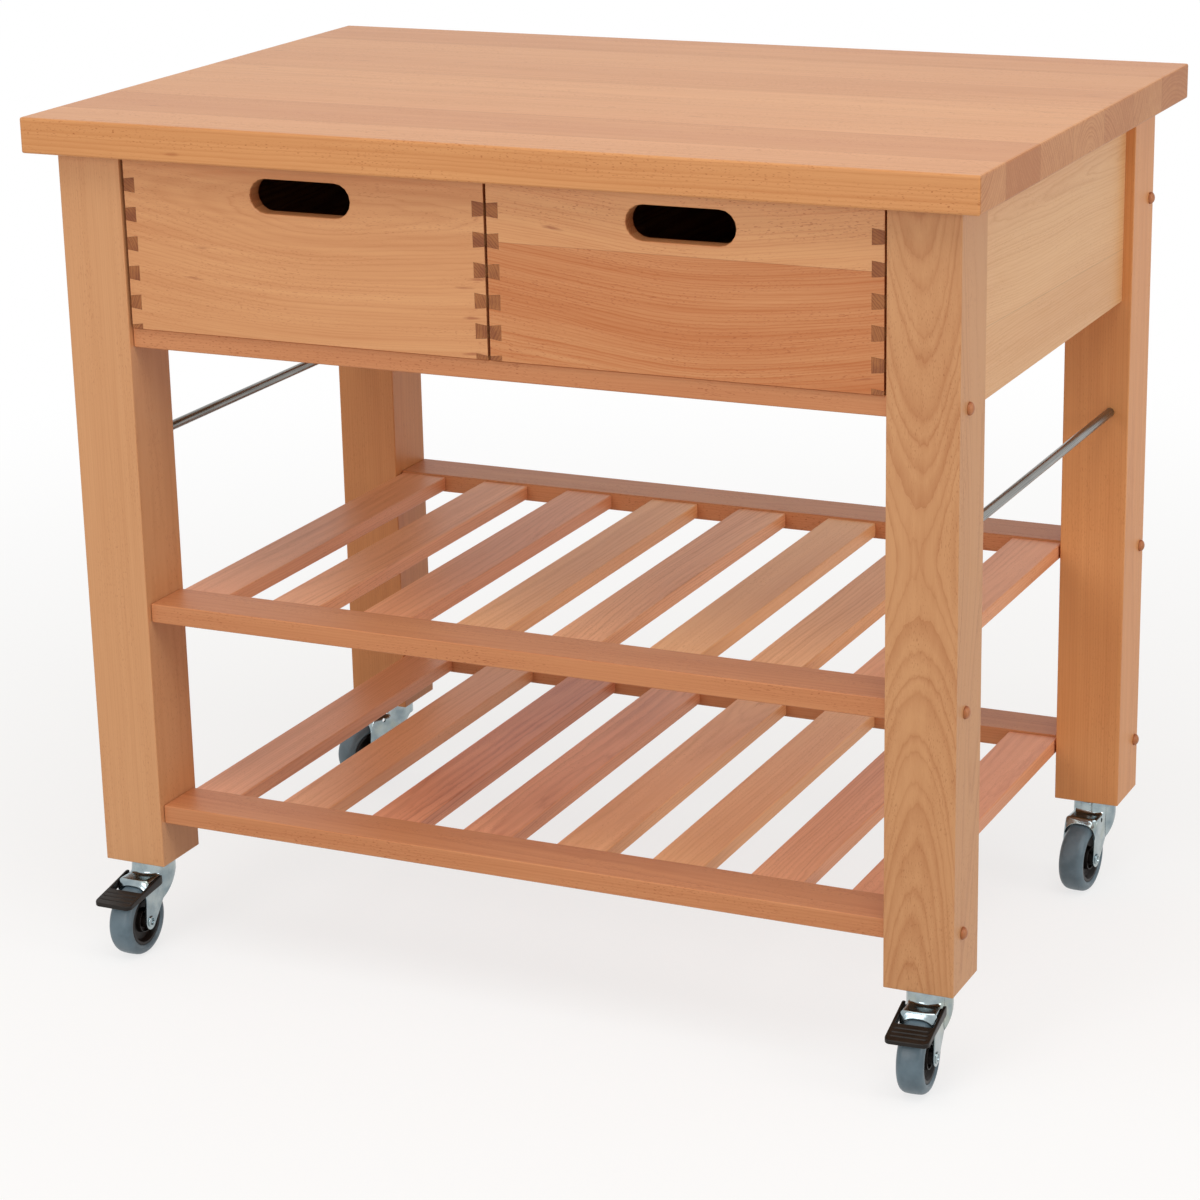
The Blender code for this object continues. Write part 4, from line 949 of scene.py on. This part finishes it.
def beech(name, centre, axes, pale, deep, heart, lean=(0.0, 0.0), tone=0.22, edge_tone=0.0,
          ring_width=0.0028, ring_depth=0.5, wander=0.010, streaks=0.7, flecks=0.5, ticks=0.0, blotch=0.0,
          end_tint=(228, 210, 200), stave=None, shift=0.0, seed=0.0, contrast=0.5, rise=0.0, bow=None,
          bow_from=0.0, sheen=0.45, polish=0.0):
    """Oiled beech for one board: its place in the log, its two tones and how strong its figure is.

    heart is where the board's centre lies along the log and from its heart, and lean tilts the board against
    the log, which draws the rings out into arches on its faces. bow gives the slopes, sideways and into the
    board, that the log takes on both sides of a bend at a place along the board. The side tone lightens or
    darkens the faces across the board's width as painted light or shade on those sides, and polish is a
    clear coat.
    """
    material, nodes, shader = new_material(name)
    turn = Euler((0, lean[0], lean[1])).to_matrix() @ Matrix(axes)
    mapping = nodes.add("ShaderNodeMapping", vector_type="POINT")
    mapping.inputs["Rotation"].default_value = turn.to_euler()
    mapping.inputs["Location"].default_value = Vector(heart) - turn @ Vector(centre)
    given = nodes.add("ShaderNodeTexCoord").outputs
    nodes.feed(mapping.inputs["Vector"], given["Object"])
    place, seam = mapping.outputs[0], None
    facing = [nodes.vector("DOT_PRODUCT", given["Normal"], axis) for axis in axes[:2]]
    end, edge = (nodes.between(nodes.math("ABSOLUTE", share), FACE_START, FACE_FULL) for share in facing)
    # The side tone is painted light or shade: it lightens or darkens the faces across the board's width.
    level = nodes.scaled(edge, edge_tone, tone)
    if stave:
        staves = nodes.group(GLUED_STAVES, place=place, stave=stave, shift=shift, seed=seed,
                             contrast=contrast, rise=rise)
        place, seam = staves["Place"], staves["Seam"]
        level = nodes.scaled(staves["Tone"], nodes.scaled(end, STAVE_END_GAIN, 1.0), level)
    if bow:
        along = nodes.math("SUBTRACT", nodes.split(mapping.outputs[0])[0], heart[0] + bow_from)
        place = nodes.group(BOWED_LOG, place=place, along=along, side=bow[0], face=bow[1])["Place"]
    figure = nodes.group(BEECH_FIGURE, place=place, end_grain=end, tone=level, pale=paint(*pale),
                         deep=paint(*deep), ring_width=ring_width, ring_depth=ring_depth, wander=wander,
                         streaks=streaks, flecks=flecks, ticks=ticks, blotch=blotch,
                         end_tint=paint(*end_tint))
    colour = figure["Color"]
    if seam is not None:
        colour = nodes.mix(nodes.times(seam, SEAM_STRENGTH), colour, paint(*(SEAM_SHADE * np.array(deep))))
    nodes.feed(shader["Base Color"], colour)
    nodes.feed(shader["Roughness"], figure["Roughness"])
    nodes.relief(shader, figure["Height"], GRAIN_STRENGTH, GRAIN_DEPTH)
    shader["Specular IOR Level"].default_value = sheen
    shader["Coat Weight"].default_value = polish
    shader["Coat Roughness"].default_value = POLISH_ROUGHNESS
    return material


def plywood(name, pale, deep):
    """Bare plywood: a rotary-cut face with slow wide figure along y."""
    material, nodes, shader = new_material(name)
    place = nodes.place()
    figure = nodes.noise(place, (26.0, 2.2, 26.0), detail=2.5)
    fibre = nodes.noise(place, (620.0, 18.0, 620.0), detail=1.5)
    waves = nodes.math("FRACT", nodes.times(figure, 7.0))
    waves = nodes.ramp(waves, [(0.0, 0.6), (0.15, 0.1), (0.7, 0.25), (1.0, 0.7)])
    shade = nodes.math("MULTIPLY_ADD", fibre, 0.5, nodes.times(waves, 0.5), clamp=True)
    nodes.feed(shader["Base Color"], nodes.mix(shade, paint(*pale), paint(*deep)))
    nodes.feed(shader["Roughness"], nodes.scaled(fibre, 0.2, 0.5))
    nodes.relief(shader, fibre, 0.2, 0.0003)
    return material


def zinc_plate():
    """Bright zinc plate on pressed steel: bluish, with a faint yellow film, clouds and drawing marks."""
    material, nodes, shader = new_material("zinc_plate")
    place = nodes.place()
    finish = nodes.group(UNEVEN_FINISH, place=place, broad=60.0, fine=900.0)
    drawn = nodes.noise(place, (260.0, 260.0, 1900.0), detail=1.0)
    colour = nodes.mix(nodes.between(finish["Cloud"], 0.3, 0.7), paint(136, 151, 157), paint(170, 182, 184))
    film = nodes.noise(place, (34.0, 34.0, 34.0), detail=2.0)
    colour = nodes.mix(nodes.between(film, 0.50, 0.72, 0.0, 0.5), colour, paint(176, 180, 160))
    nodes.feed(shader["Base Color"], colour)
    shader["Metallic"].default_value = 1.0
    rough = nodes.scaled(finish["Cloud"], 0.12, 0.07)
    nodes.feed(shader["Roughness"], nodes.scaled(finish["Speckle"], 0.06, rough))
    nodes.relief(shader, nodes.plus(drawn, finish["Speckle"]), 0.08, 0.0002)
    return material


def drawn_steel():
    """Satin steel drawn along y: fine long scratches that change its tone and roughness."""
    material, nodes, shader = new_material("drawn_steel")
    place = nodes.place()
    drawn = nodes.noise(place, (1400.0, 9.0, 1400.0), detail=2.0)
    cloud = nodes.noise(place, (40.0, 14.0, 40.0), detail=2.0)
    shade = nodes.between(nodes.scaled(drawn, 0.7, nodes.times(cloud, 0.3)), 0.35, 0.65)
    nodes.feed(shader["Base Color"], nodes.mix(shade, paint(108, 108, 105), paint(150, 150, 146)))
    shader["Metallic"].default_value = 1.0
    nodes.feed(shader["Roughness"], nodes.scaled(drawn, 0.18, 0.20))
    nodes.relief(shader, drawn, 0.12, 0.0002)
    return material


def moulded(name, dark, light, roughness, broad, fine, grain=0.12, gloss=0.5):
    """A moulded rubber or plastic: soft clouds of tone, a fine grain and an uneven sheen."""
    material, nodes, shader = new_material(name)
    place = nodes.place()
    finish = nodes.group(UNEVEN_FINISH, place=place, broad=broad, fine=fine)
    cloud = nodes.between(finish["Cloud"], 0.3, 0.7)
    nodes.feed(shader["Base Color"], nodes.mix(cloud, paint(*dark), paint(*light)))
    nodes.feed(shader["Roughness"], nodes.scaled(finish["Cloud"], 0.2, roughness - 0.1))
    shader["Specular IOR Level"].default_value = gloss
    nodes.relief(shader, finish["Speckle"], grain, 0.0003)
    return material


# The boards' finishes

def middle_of(node):
    """The centre of a node's box."""
    low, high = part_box(node)
    return (low + high) / 2


def finish_node(node, material):
    """A carried-over board takes a new material in all its slots."""
    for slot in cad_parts[node].material_slots:
        slot.material = material


def board(node, axes, pale, deep, heart, **figure):
    """A board of the trolley gets its own beech."""
    finish_node(node, beech("beech_" + node, middle_of(node), axes, pale, deep, heart, **figure))


def finish_worktop():
    """The worktop, glued up from seven staves that run its whole length, the front one cut narrower."""
    low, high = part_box("worktop")
    stave = (high.y - low.y) / (6 + FRONT_STAVE)
    board("worktop", GRAIN_X_FLAT, (221, 159, 104), (194, 124, 70), (0.0, 0.0, 0.0),
          stave=stave, shift=-FRONT_STAVE / 2 * stave, seed=50551.0, contrast=0.8, ring_width=0.0046,
          ring_depth=0.42, flecks=0.7, ticks=0.4, wander=0.012, streaks=0.6, end_tint=(242, 242, 250),
          sheen=0.1, polish=0.32)


def finish_legs():
    """Four legs, each sawn differently: bold arches on the front right one, straight grain on the others."""
    # The front right leg's side faces are painted lighter, standing in for light falling on its right face.
    board("leg_front_right", GRAIN_Z, (209, 154, 107), (175, 111, 67), (0.9, 0.003, -0.042),
          tone=0.1, ring_depth=0.52, wander=0.030, ring_width=0.0044, streaks=0.5, flecks=0.4,
          bow=(0.01, 0.15), bow_from=0.055, sheen=0.3, edge_tone=-0.2)
    board("leg_front_left", GRAIN_Z, (218, 162, 114), (194, 132, 84), (3.1, 0.110, 0.020),
          lean=(0.004, 0.006), ring_depth=0.3, flecks=0.4)
    board("leg_rear_right", GRAIN_Z, (229, 161, 101), (205, 132, 75), (5.3, 0.085, 0.015),
          lean=(0.003, 0.004), ring_depth=0.4, flecks=0.3)
    board("leg_rear_left", GRAIN_Z, (220, 152, 94), (196, 124, 70), (7.7, -0.095, 0.030),
          lean=(0.004, 0.003), ring_depth=0.4, flecks=0.3)


def finish_panels():
    """Side and back panels, each of two boards one above the other."""
    for node, seed in (("side_panel_left", 4.0), ("side_panel_right", 11.0)):
        board(node, GRAIN_Y_UPRIGHT, (235, 185, 132), (212, 150, 94), (seed, 0.0, 0.0), lean=(0.02, 0.03),
              stave=0.135, shift=0.036, seed=seed, contrast=0.35, ring_depth=0.6, wander=0.030, flecks=0.3)
    board("back_panel", GRAIN_X_UPRIGHT, (222, 172, 122), (200, 140, 90), (2.0, 0.0, 0.0), lean=(0.01, 0.02),
          stave=0.135, shift=0.036, seed=17.0, contrast=0.4, ring_depth=0.4, wander=0.020)


def finish_drawers():
    """Drawer fronts, backs and sides in beech, with plywood bottoms; the fronts show their own figure."""
    board("drawer_left_front", GRAIN_X_UPRIGHT, (221, 161, 110), (194, 124, 74), (1.3, -0.050, 0.060),
          lean=(0.010, 0.012), tone=0.25, ring_depth=0.38, wander=0.030, streaks=1.0, flecks=0.4, ticks=0.6,
          bow=(-0.065, 0.026))
    board("drawer_right_front", GRAIN_X_UPRIGHT, (222, 162, 110), (188, 108, 54), (4.2, 0.0, 0.0),
          lean=(0.006, 0.004), tone=0.01, stave=0.125, shift=-0.0275, seed=26.0, contrast=0.0, rise=-0.58,
          ring_depth=0.44, wander=0.036, streaks=0.8, flecks=0.6, ticks=0.6, bow=(-0.14, 0.026))
    ply = plywood("plywood_bottom", (212, 180, 138), (190, 150, 106))
    for side, seed in (("left", 2.4), ("right", 6.8)):
        board(f"drawer_{side}_back", GRAIN_X_UPRIGHT, (214, 164, 114), (190, 132, 84), (seed, 0.04, 0.09),
              lean=(0.008, 0.01), ring_depth=0.5)
        for hand, turn in (("left", 0.9), ("right", 1.7)):
            board(f"drawer_{side}_side_{hand}", GRAIN_Y_UPRIGHT, (206, 154, 106), (162, 104, 66),
                  (seed + turn, 0.035 * turn, 0.06), lean=(0.008, 0.012), ring_depth=0.7, streaks=1.0,
                  blotch=1.1, end_tint=(204, 172, 138))
        finish_node(f"drawer_{side}_bottom", ply)


def finish_rails_and_slats():
    """Rails along x and slats between them; the slats come from several boards, so their tones differ."""
    for i, node in enumerate(("drawer_rail", "upper_shelf_front_rail", "upper_shelf_back_rail",
                              "lower_shelf_front_rail", "lower_shelf_back_rail")):
        heart = (1.7 * i, 0.07 - 0.03 * i, 0.06 + 0.01 * i)
        board(node, GRAIN_X_FLAT, (210, 144, 98), (184, 112, 70), heart, lean=(0.006, 0.008),
              ring_depth=0.4, flecks=0.6, sheen=0.3)
    board("centre_runner", GRAIN_Y_FLAT, (206, 150, 104), (182, 118, 74), (0.4, 0.05, 0.05), ring_depth=0.5)
    chance = np.random.default_rng(SLAT_SEED)
    tan, rosy = np.array([(254, 196, 138), (230, 162, 102)]), np.array([(242, 170, 128), (200, 120, 83)])
    rosiness = {"upper": (0.75, 0.7, 0.8, 0.2, 0.5, 0.1, 0.25, 0.8),
                "lower": (0.8, 0.5, 1.1, 0.9, 0.3, 0.2, 0.75, 0.9)}
    for level, shares in rosiness.items():
        for i, share in enumerate(shares, 1):
            side, depth, cut, bold = chance.uniform(size=4)
            pale, deep = tan + share * (rosy - tan)
            heart = (LOG_LENGTH * cut, 0.12 * (side - 0.5), 0.03 + 0.08 * depth)
            board(f"{level}_shelf_slat_{i}", GRAIN_Y_FLAT, pale, deep, heart,
                  lean=(0.01 * (depth - 0.5), 0.01 * side), ring_depth=0.35 + 0.5 * bold,
                  wander=0.020, streaks=0.8 + 0.6 * bold, flecks=0.35)


# The fittings

def fit_pieces(pieces, body, slot, material, *nodes):
    """New pieces ride a body, take a finish and stand for the nodes."""
    for piece in pieces:
        piece.data.materials.clear()
        piece.data.materials.append(material)
        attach(piece, body)
    if nodes:
        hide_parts(*nodes)


def make_casters():
    """Four casters, and brake pedals on the front two."""
    zinc = zinc_plate()
    rubber = moulded("grey_rubber", (84, 104, 116), (103, 123, 135), 0.40, 55.0, 1600.0)
    core_finish = moulded("black_nylon_core", (18, 13, 11), (28, 21, 18), 0.40, 70.0, 1500.0, gloss=0.25)
    pedal_finish = moulded("black_nylon_pedal", (20, 15, 11), (32, 25, 19), 0.40, 60.0, 1400.0, 0.2,
                           gloss=0.25)
    fork_shape = fork_mesh(Caster(CASTERS[0]))
    for place in CASTERS:
        caster = Caster(place)
        node, swivel, wheel = f"caster_{place}_", f"caster_{place}_swivel", f"caster_{place}_wheel"
        fork = fork_shape.copy()
        fork.transform(caster.matrix())
        fork = shown(f"pressed_fork_{place}", fork)
        axle = surface(f"axle_bolt_{place}", [caster.put(axle_grid(caster))])
        fit_pieces([fork, axle], swivel, "zinc_plated_steel", zinc, node + "fork")
        stem = surface(f"swivel_stem_{place}", [caster.put(stem_grid(caster))])
        fit_pieces([stem], "frame", "zinc_plated_steel", zinc, node + "stem")
        tyre = surface(f"wheel_tyre_{place}", [caster.put(tyre_grid(caster))])
        fit_pieces([tyre], wheel, "grey_tyre", rubber, node + "tyre")
        core = surface(f"wheel_core_{place}", [caster.put(core_grid(caster))])
        fit_pieces([core], wheel, "dark_wheel_core", core_finish, node + "wheel")
        if place.startswith("front"):
            grids = [pedal_grid(caster), *pedal_pin_grids()]
            pedal = surface(f"foot_pedal_{place}", [caster.put(grid) for grid in grids])
            fit_pieces([pedal], f"caster_{place}_pedal", "dark_pedal", pedal_finish, node + "brake_pedal")


def make_towel_rods():
    """A round rod at each end, its radius turned along its length.

    A thinner spigot with a chamfered tip fills each leg's hole, and the full bar runs from leg to leg.
    """
    steel = drawn_steel()
    for side in ("left", "right"):
        low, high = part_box("towel_rod_" + side)
        middle = (low + high) / 2
        spigot, tip = (high.z - low.z) / 2, (high.y - low.y) / 2
        between_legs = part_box("leg_rear_" + side)[0].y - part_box("leg_front_" + side)[1].y
        bar, shoulder = TOWEL_BAR_DIAMETER / 2, between_legs / 2 - TOWEL_BAR_GAP
        chamfer = spigot / 6
        half = filleted([(0, tip), (spigot - chamfer, tip), (spigot, tip - chamfer), (spigot, shoulder),
                         (bar, shoulder), (bar, 0)], (0, 0, 0, 0, TOWEL_BAR_EASE, 0))
        rod = surface(f"towel_bar_{side}", [spun(mirrored(half), "Y", ROD_STEPS) + np.array(middle)])
        fit_pieces([rod], "frame", "satin_steel", steel, "towel_rod_" + side)


def plug_grid(sign):
    """A domed plug: a shank in the hole, a thin rim just off the face and a low dome, turned about x."""
    shank, cap = PLUG_DIAMETER / 2, PLUG_CAP_DIAMETER / 2
    crown = np.linspace(0, math.pi / 2, PLUG_DOME_POINTS)
    dome = np.stack([cap * np.cos(crown), PLUG_RIM + PLUG_CROWN * np.sin(crown)], axis=-1)
    seat = [(0, -PLUG_DEPTH), (shank, -PLUG_DEPTH), (shank, PLUG_CAP_GAP), (cap, PLUG_CAP_GAP)]
    profile = np.concatenate([seat, dome])
    return spun(profile, "X", PLUG_STEPS) * (sign, 1, 1)


def make_bolt_plugs():
    """Domed plugs over the bolt holes, level with the rails and panels that the bolts hold."""
    shelves = ("upper_shelf_front_rail", "lower_shelf_front_rail")
    heights = {"front": ("drawer_rail", *shelves), "rear": ("back_panel", *shelves)}
    for end, nodes in heights.items():
        for side, sign in (("left", -1), ("right", 1)):
            low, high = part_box(f"leg_{end}_{side}")
            y = low.y + FRONT_BOLT_INSET if end == "front" else high.y - REAR_BOLT_INSET
            x = high.x if sign > 0 else low.x
            for i, node in enumerate(nodes, 1):
                place = np.array((x, y, middle_of(node).z))
                plug = surface(f"bolt_plug_{end}_{side}_{i}", [plug_grid(sign) + place])
                finish = beech(f"beech_plug_{end}_{side}_{i}", place, GRAIN_Z, (198, 128, 80), (156, 92, 50),
                               (0.7 * i, 0.03, 0.02 * i), ring_depth=0.4, flecks=0.3)
                fit_pieces([plug], "frame", "beech_leg", finish)


# The studio

def make_camera():
    """The camera at the photograph's place, turned by azimuth and elevation and rolled about its view."""
    azimuth, elevation = CAMERA_AZIMUTH, CAMERA_ELEVATION
    back = Vector((math.sin(azimuth) * math.cos(elevation), -math.cos(azimuth) * math.cos(elevation),
                   math.sin(elevation)))
    right = (-back).cross(Vector((0, 0, 1))).normalized()
    up = right.cross(-back)
    c, s = math.cos(CAMERA_ROLL), math.sin(CAMERA_ROLL)
    turn = Matrix((c * right + s * up, c * up - s * right, back)).transposed().to_4x4()
    data = bpy.data.cameras.new("studio_camera")
    data.lens = CAMERA_LENS
    data.sensor_width = CAMERA_SENSOR
    camera = bpy.data.objects.new("studio_camera", data)
    camera.matrix_world = Matrix.Translation(CAMERA_PLACE) @ turn
    bpy.context.scene.collection.objects.link(camera)
    bpy.context.scene.camera = camera


def soft_light(name, place, size, power):
    """A square soft light that looks at the trolley."""
    data = bpy.data.lights.new(name, "AREA")
    data.shape = "SQUARE"
    data.size = size
    data.energy = power
    light = bpy.data.objects.new(name, data)
    light.location = place
    light.rotation_euler = (Vector(LAMP_AIM) - Vector(place)).to_track_quat("-Z", "Y").to_euler()
    bpy.context.scene.collection.objects.link(light)


def seen_ray(nodes):
    """One for rays that show the studio itself, straight or by reflection, and nought for other rays."""
    path = nodes.add("ShaderNodeLightPath").outputs
    seen = nodes.math("MAXIMUM", path["Is Camera Ray"], path["Is Glossy Ray"])
    return nodes.math("MAXIMUM", seen, path["Is Transmission Ray"])


def make_studio():
    """A pale floor, three soft lights and an even surround that the eye and polished metal see as white."""
    corners = FLOOR_HALF * np.array([[(-1, -1, 0), (1, -1, 0)], [(-1, 1, 0), (1, 1, 0)]], float)
    floor = surface("studio_floor", [corners], closed=False)
    material, nodes, shader = new_material("pale_floor")
    place = nodes.place()
    away = nodes.between(nodes.vector("LENGTH", place), SHADOW_REACH / 4, SHADOW_REACH)
    seen = seen_ray(nodes)
    glow = nodes.times(nodes.scaled(away, 1 - FLOOR_GLOW, FLOOR_GLOW), seen)
    shade = nodes.between(seen, 0.0, 1.0, FLOOR_BOUNCE, FLOOR_PAINT)
    shade = nodes.times(shade, nodes.math("SUBTRACT", 1.0, glow))
    nodes.feed(shader["Base Color"], nodes.join(shade, shade, shade))
    shader["Emission Color"].default_value = WHITE
    nodes.feed(shader["Emission Strength"], glow)
    shader["Roughness"].default_value = 0.9
    shader["Specular IOR Level"].default_value = 0.0
    floor.data.materials.append(material)

    for name, (lamp_place, size, power) in LAMPS.items():
        soft_light(name, lamp_place, size, power)

    world = bpy.data.worlds.new("studio_surround")
    world.use_nodes = True
    nodes = Nodes(world.node_tree)
    seen = seen_ray(nodes)
    background = world.node_tree.nodes["Background"].inputs
    nodes.feed(background["Color"], nodes.mix(seen, WARM_FILL, WHITE))
    nodes.feed(background["Strength"], nodes.between(seen, 0.0, 1.0, FILL_STRENGTH, 1.0))
    scene = bpy.context.scene
    scene.world = world
    scene.view_settings.view_transform = "Standard"


make_camera()
finish_worktop()
finish_legs()
finish_panels()
finish_drawers()
finish_rails_and_slats()
make_casters()
make_towel_rods()
make_bolt_plugs()
make_studio()

bpy.context.view_layer.update()
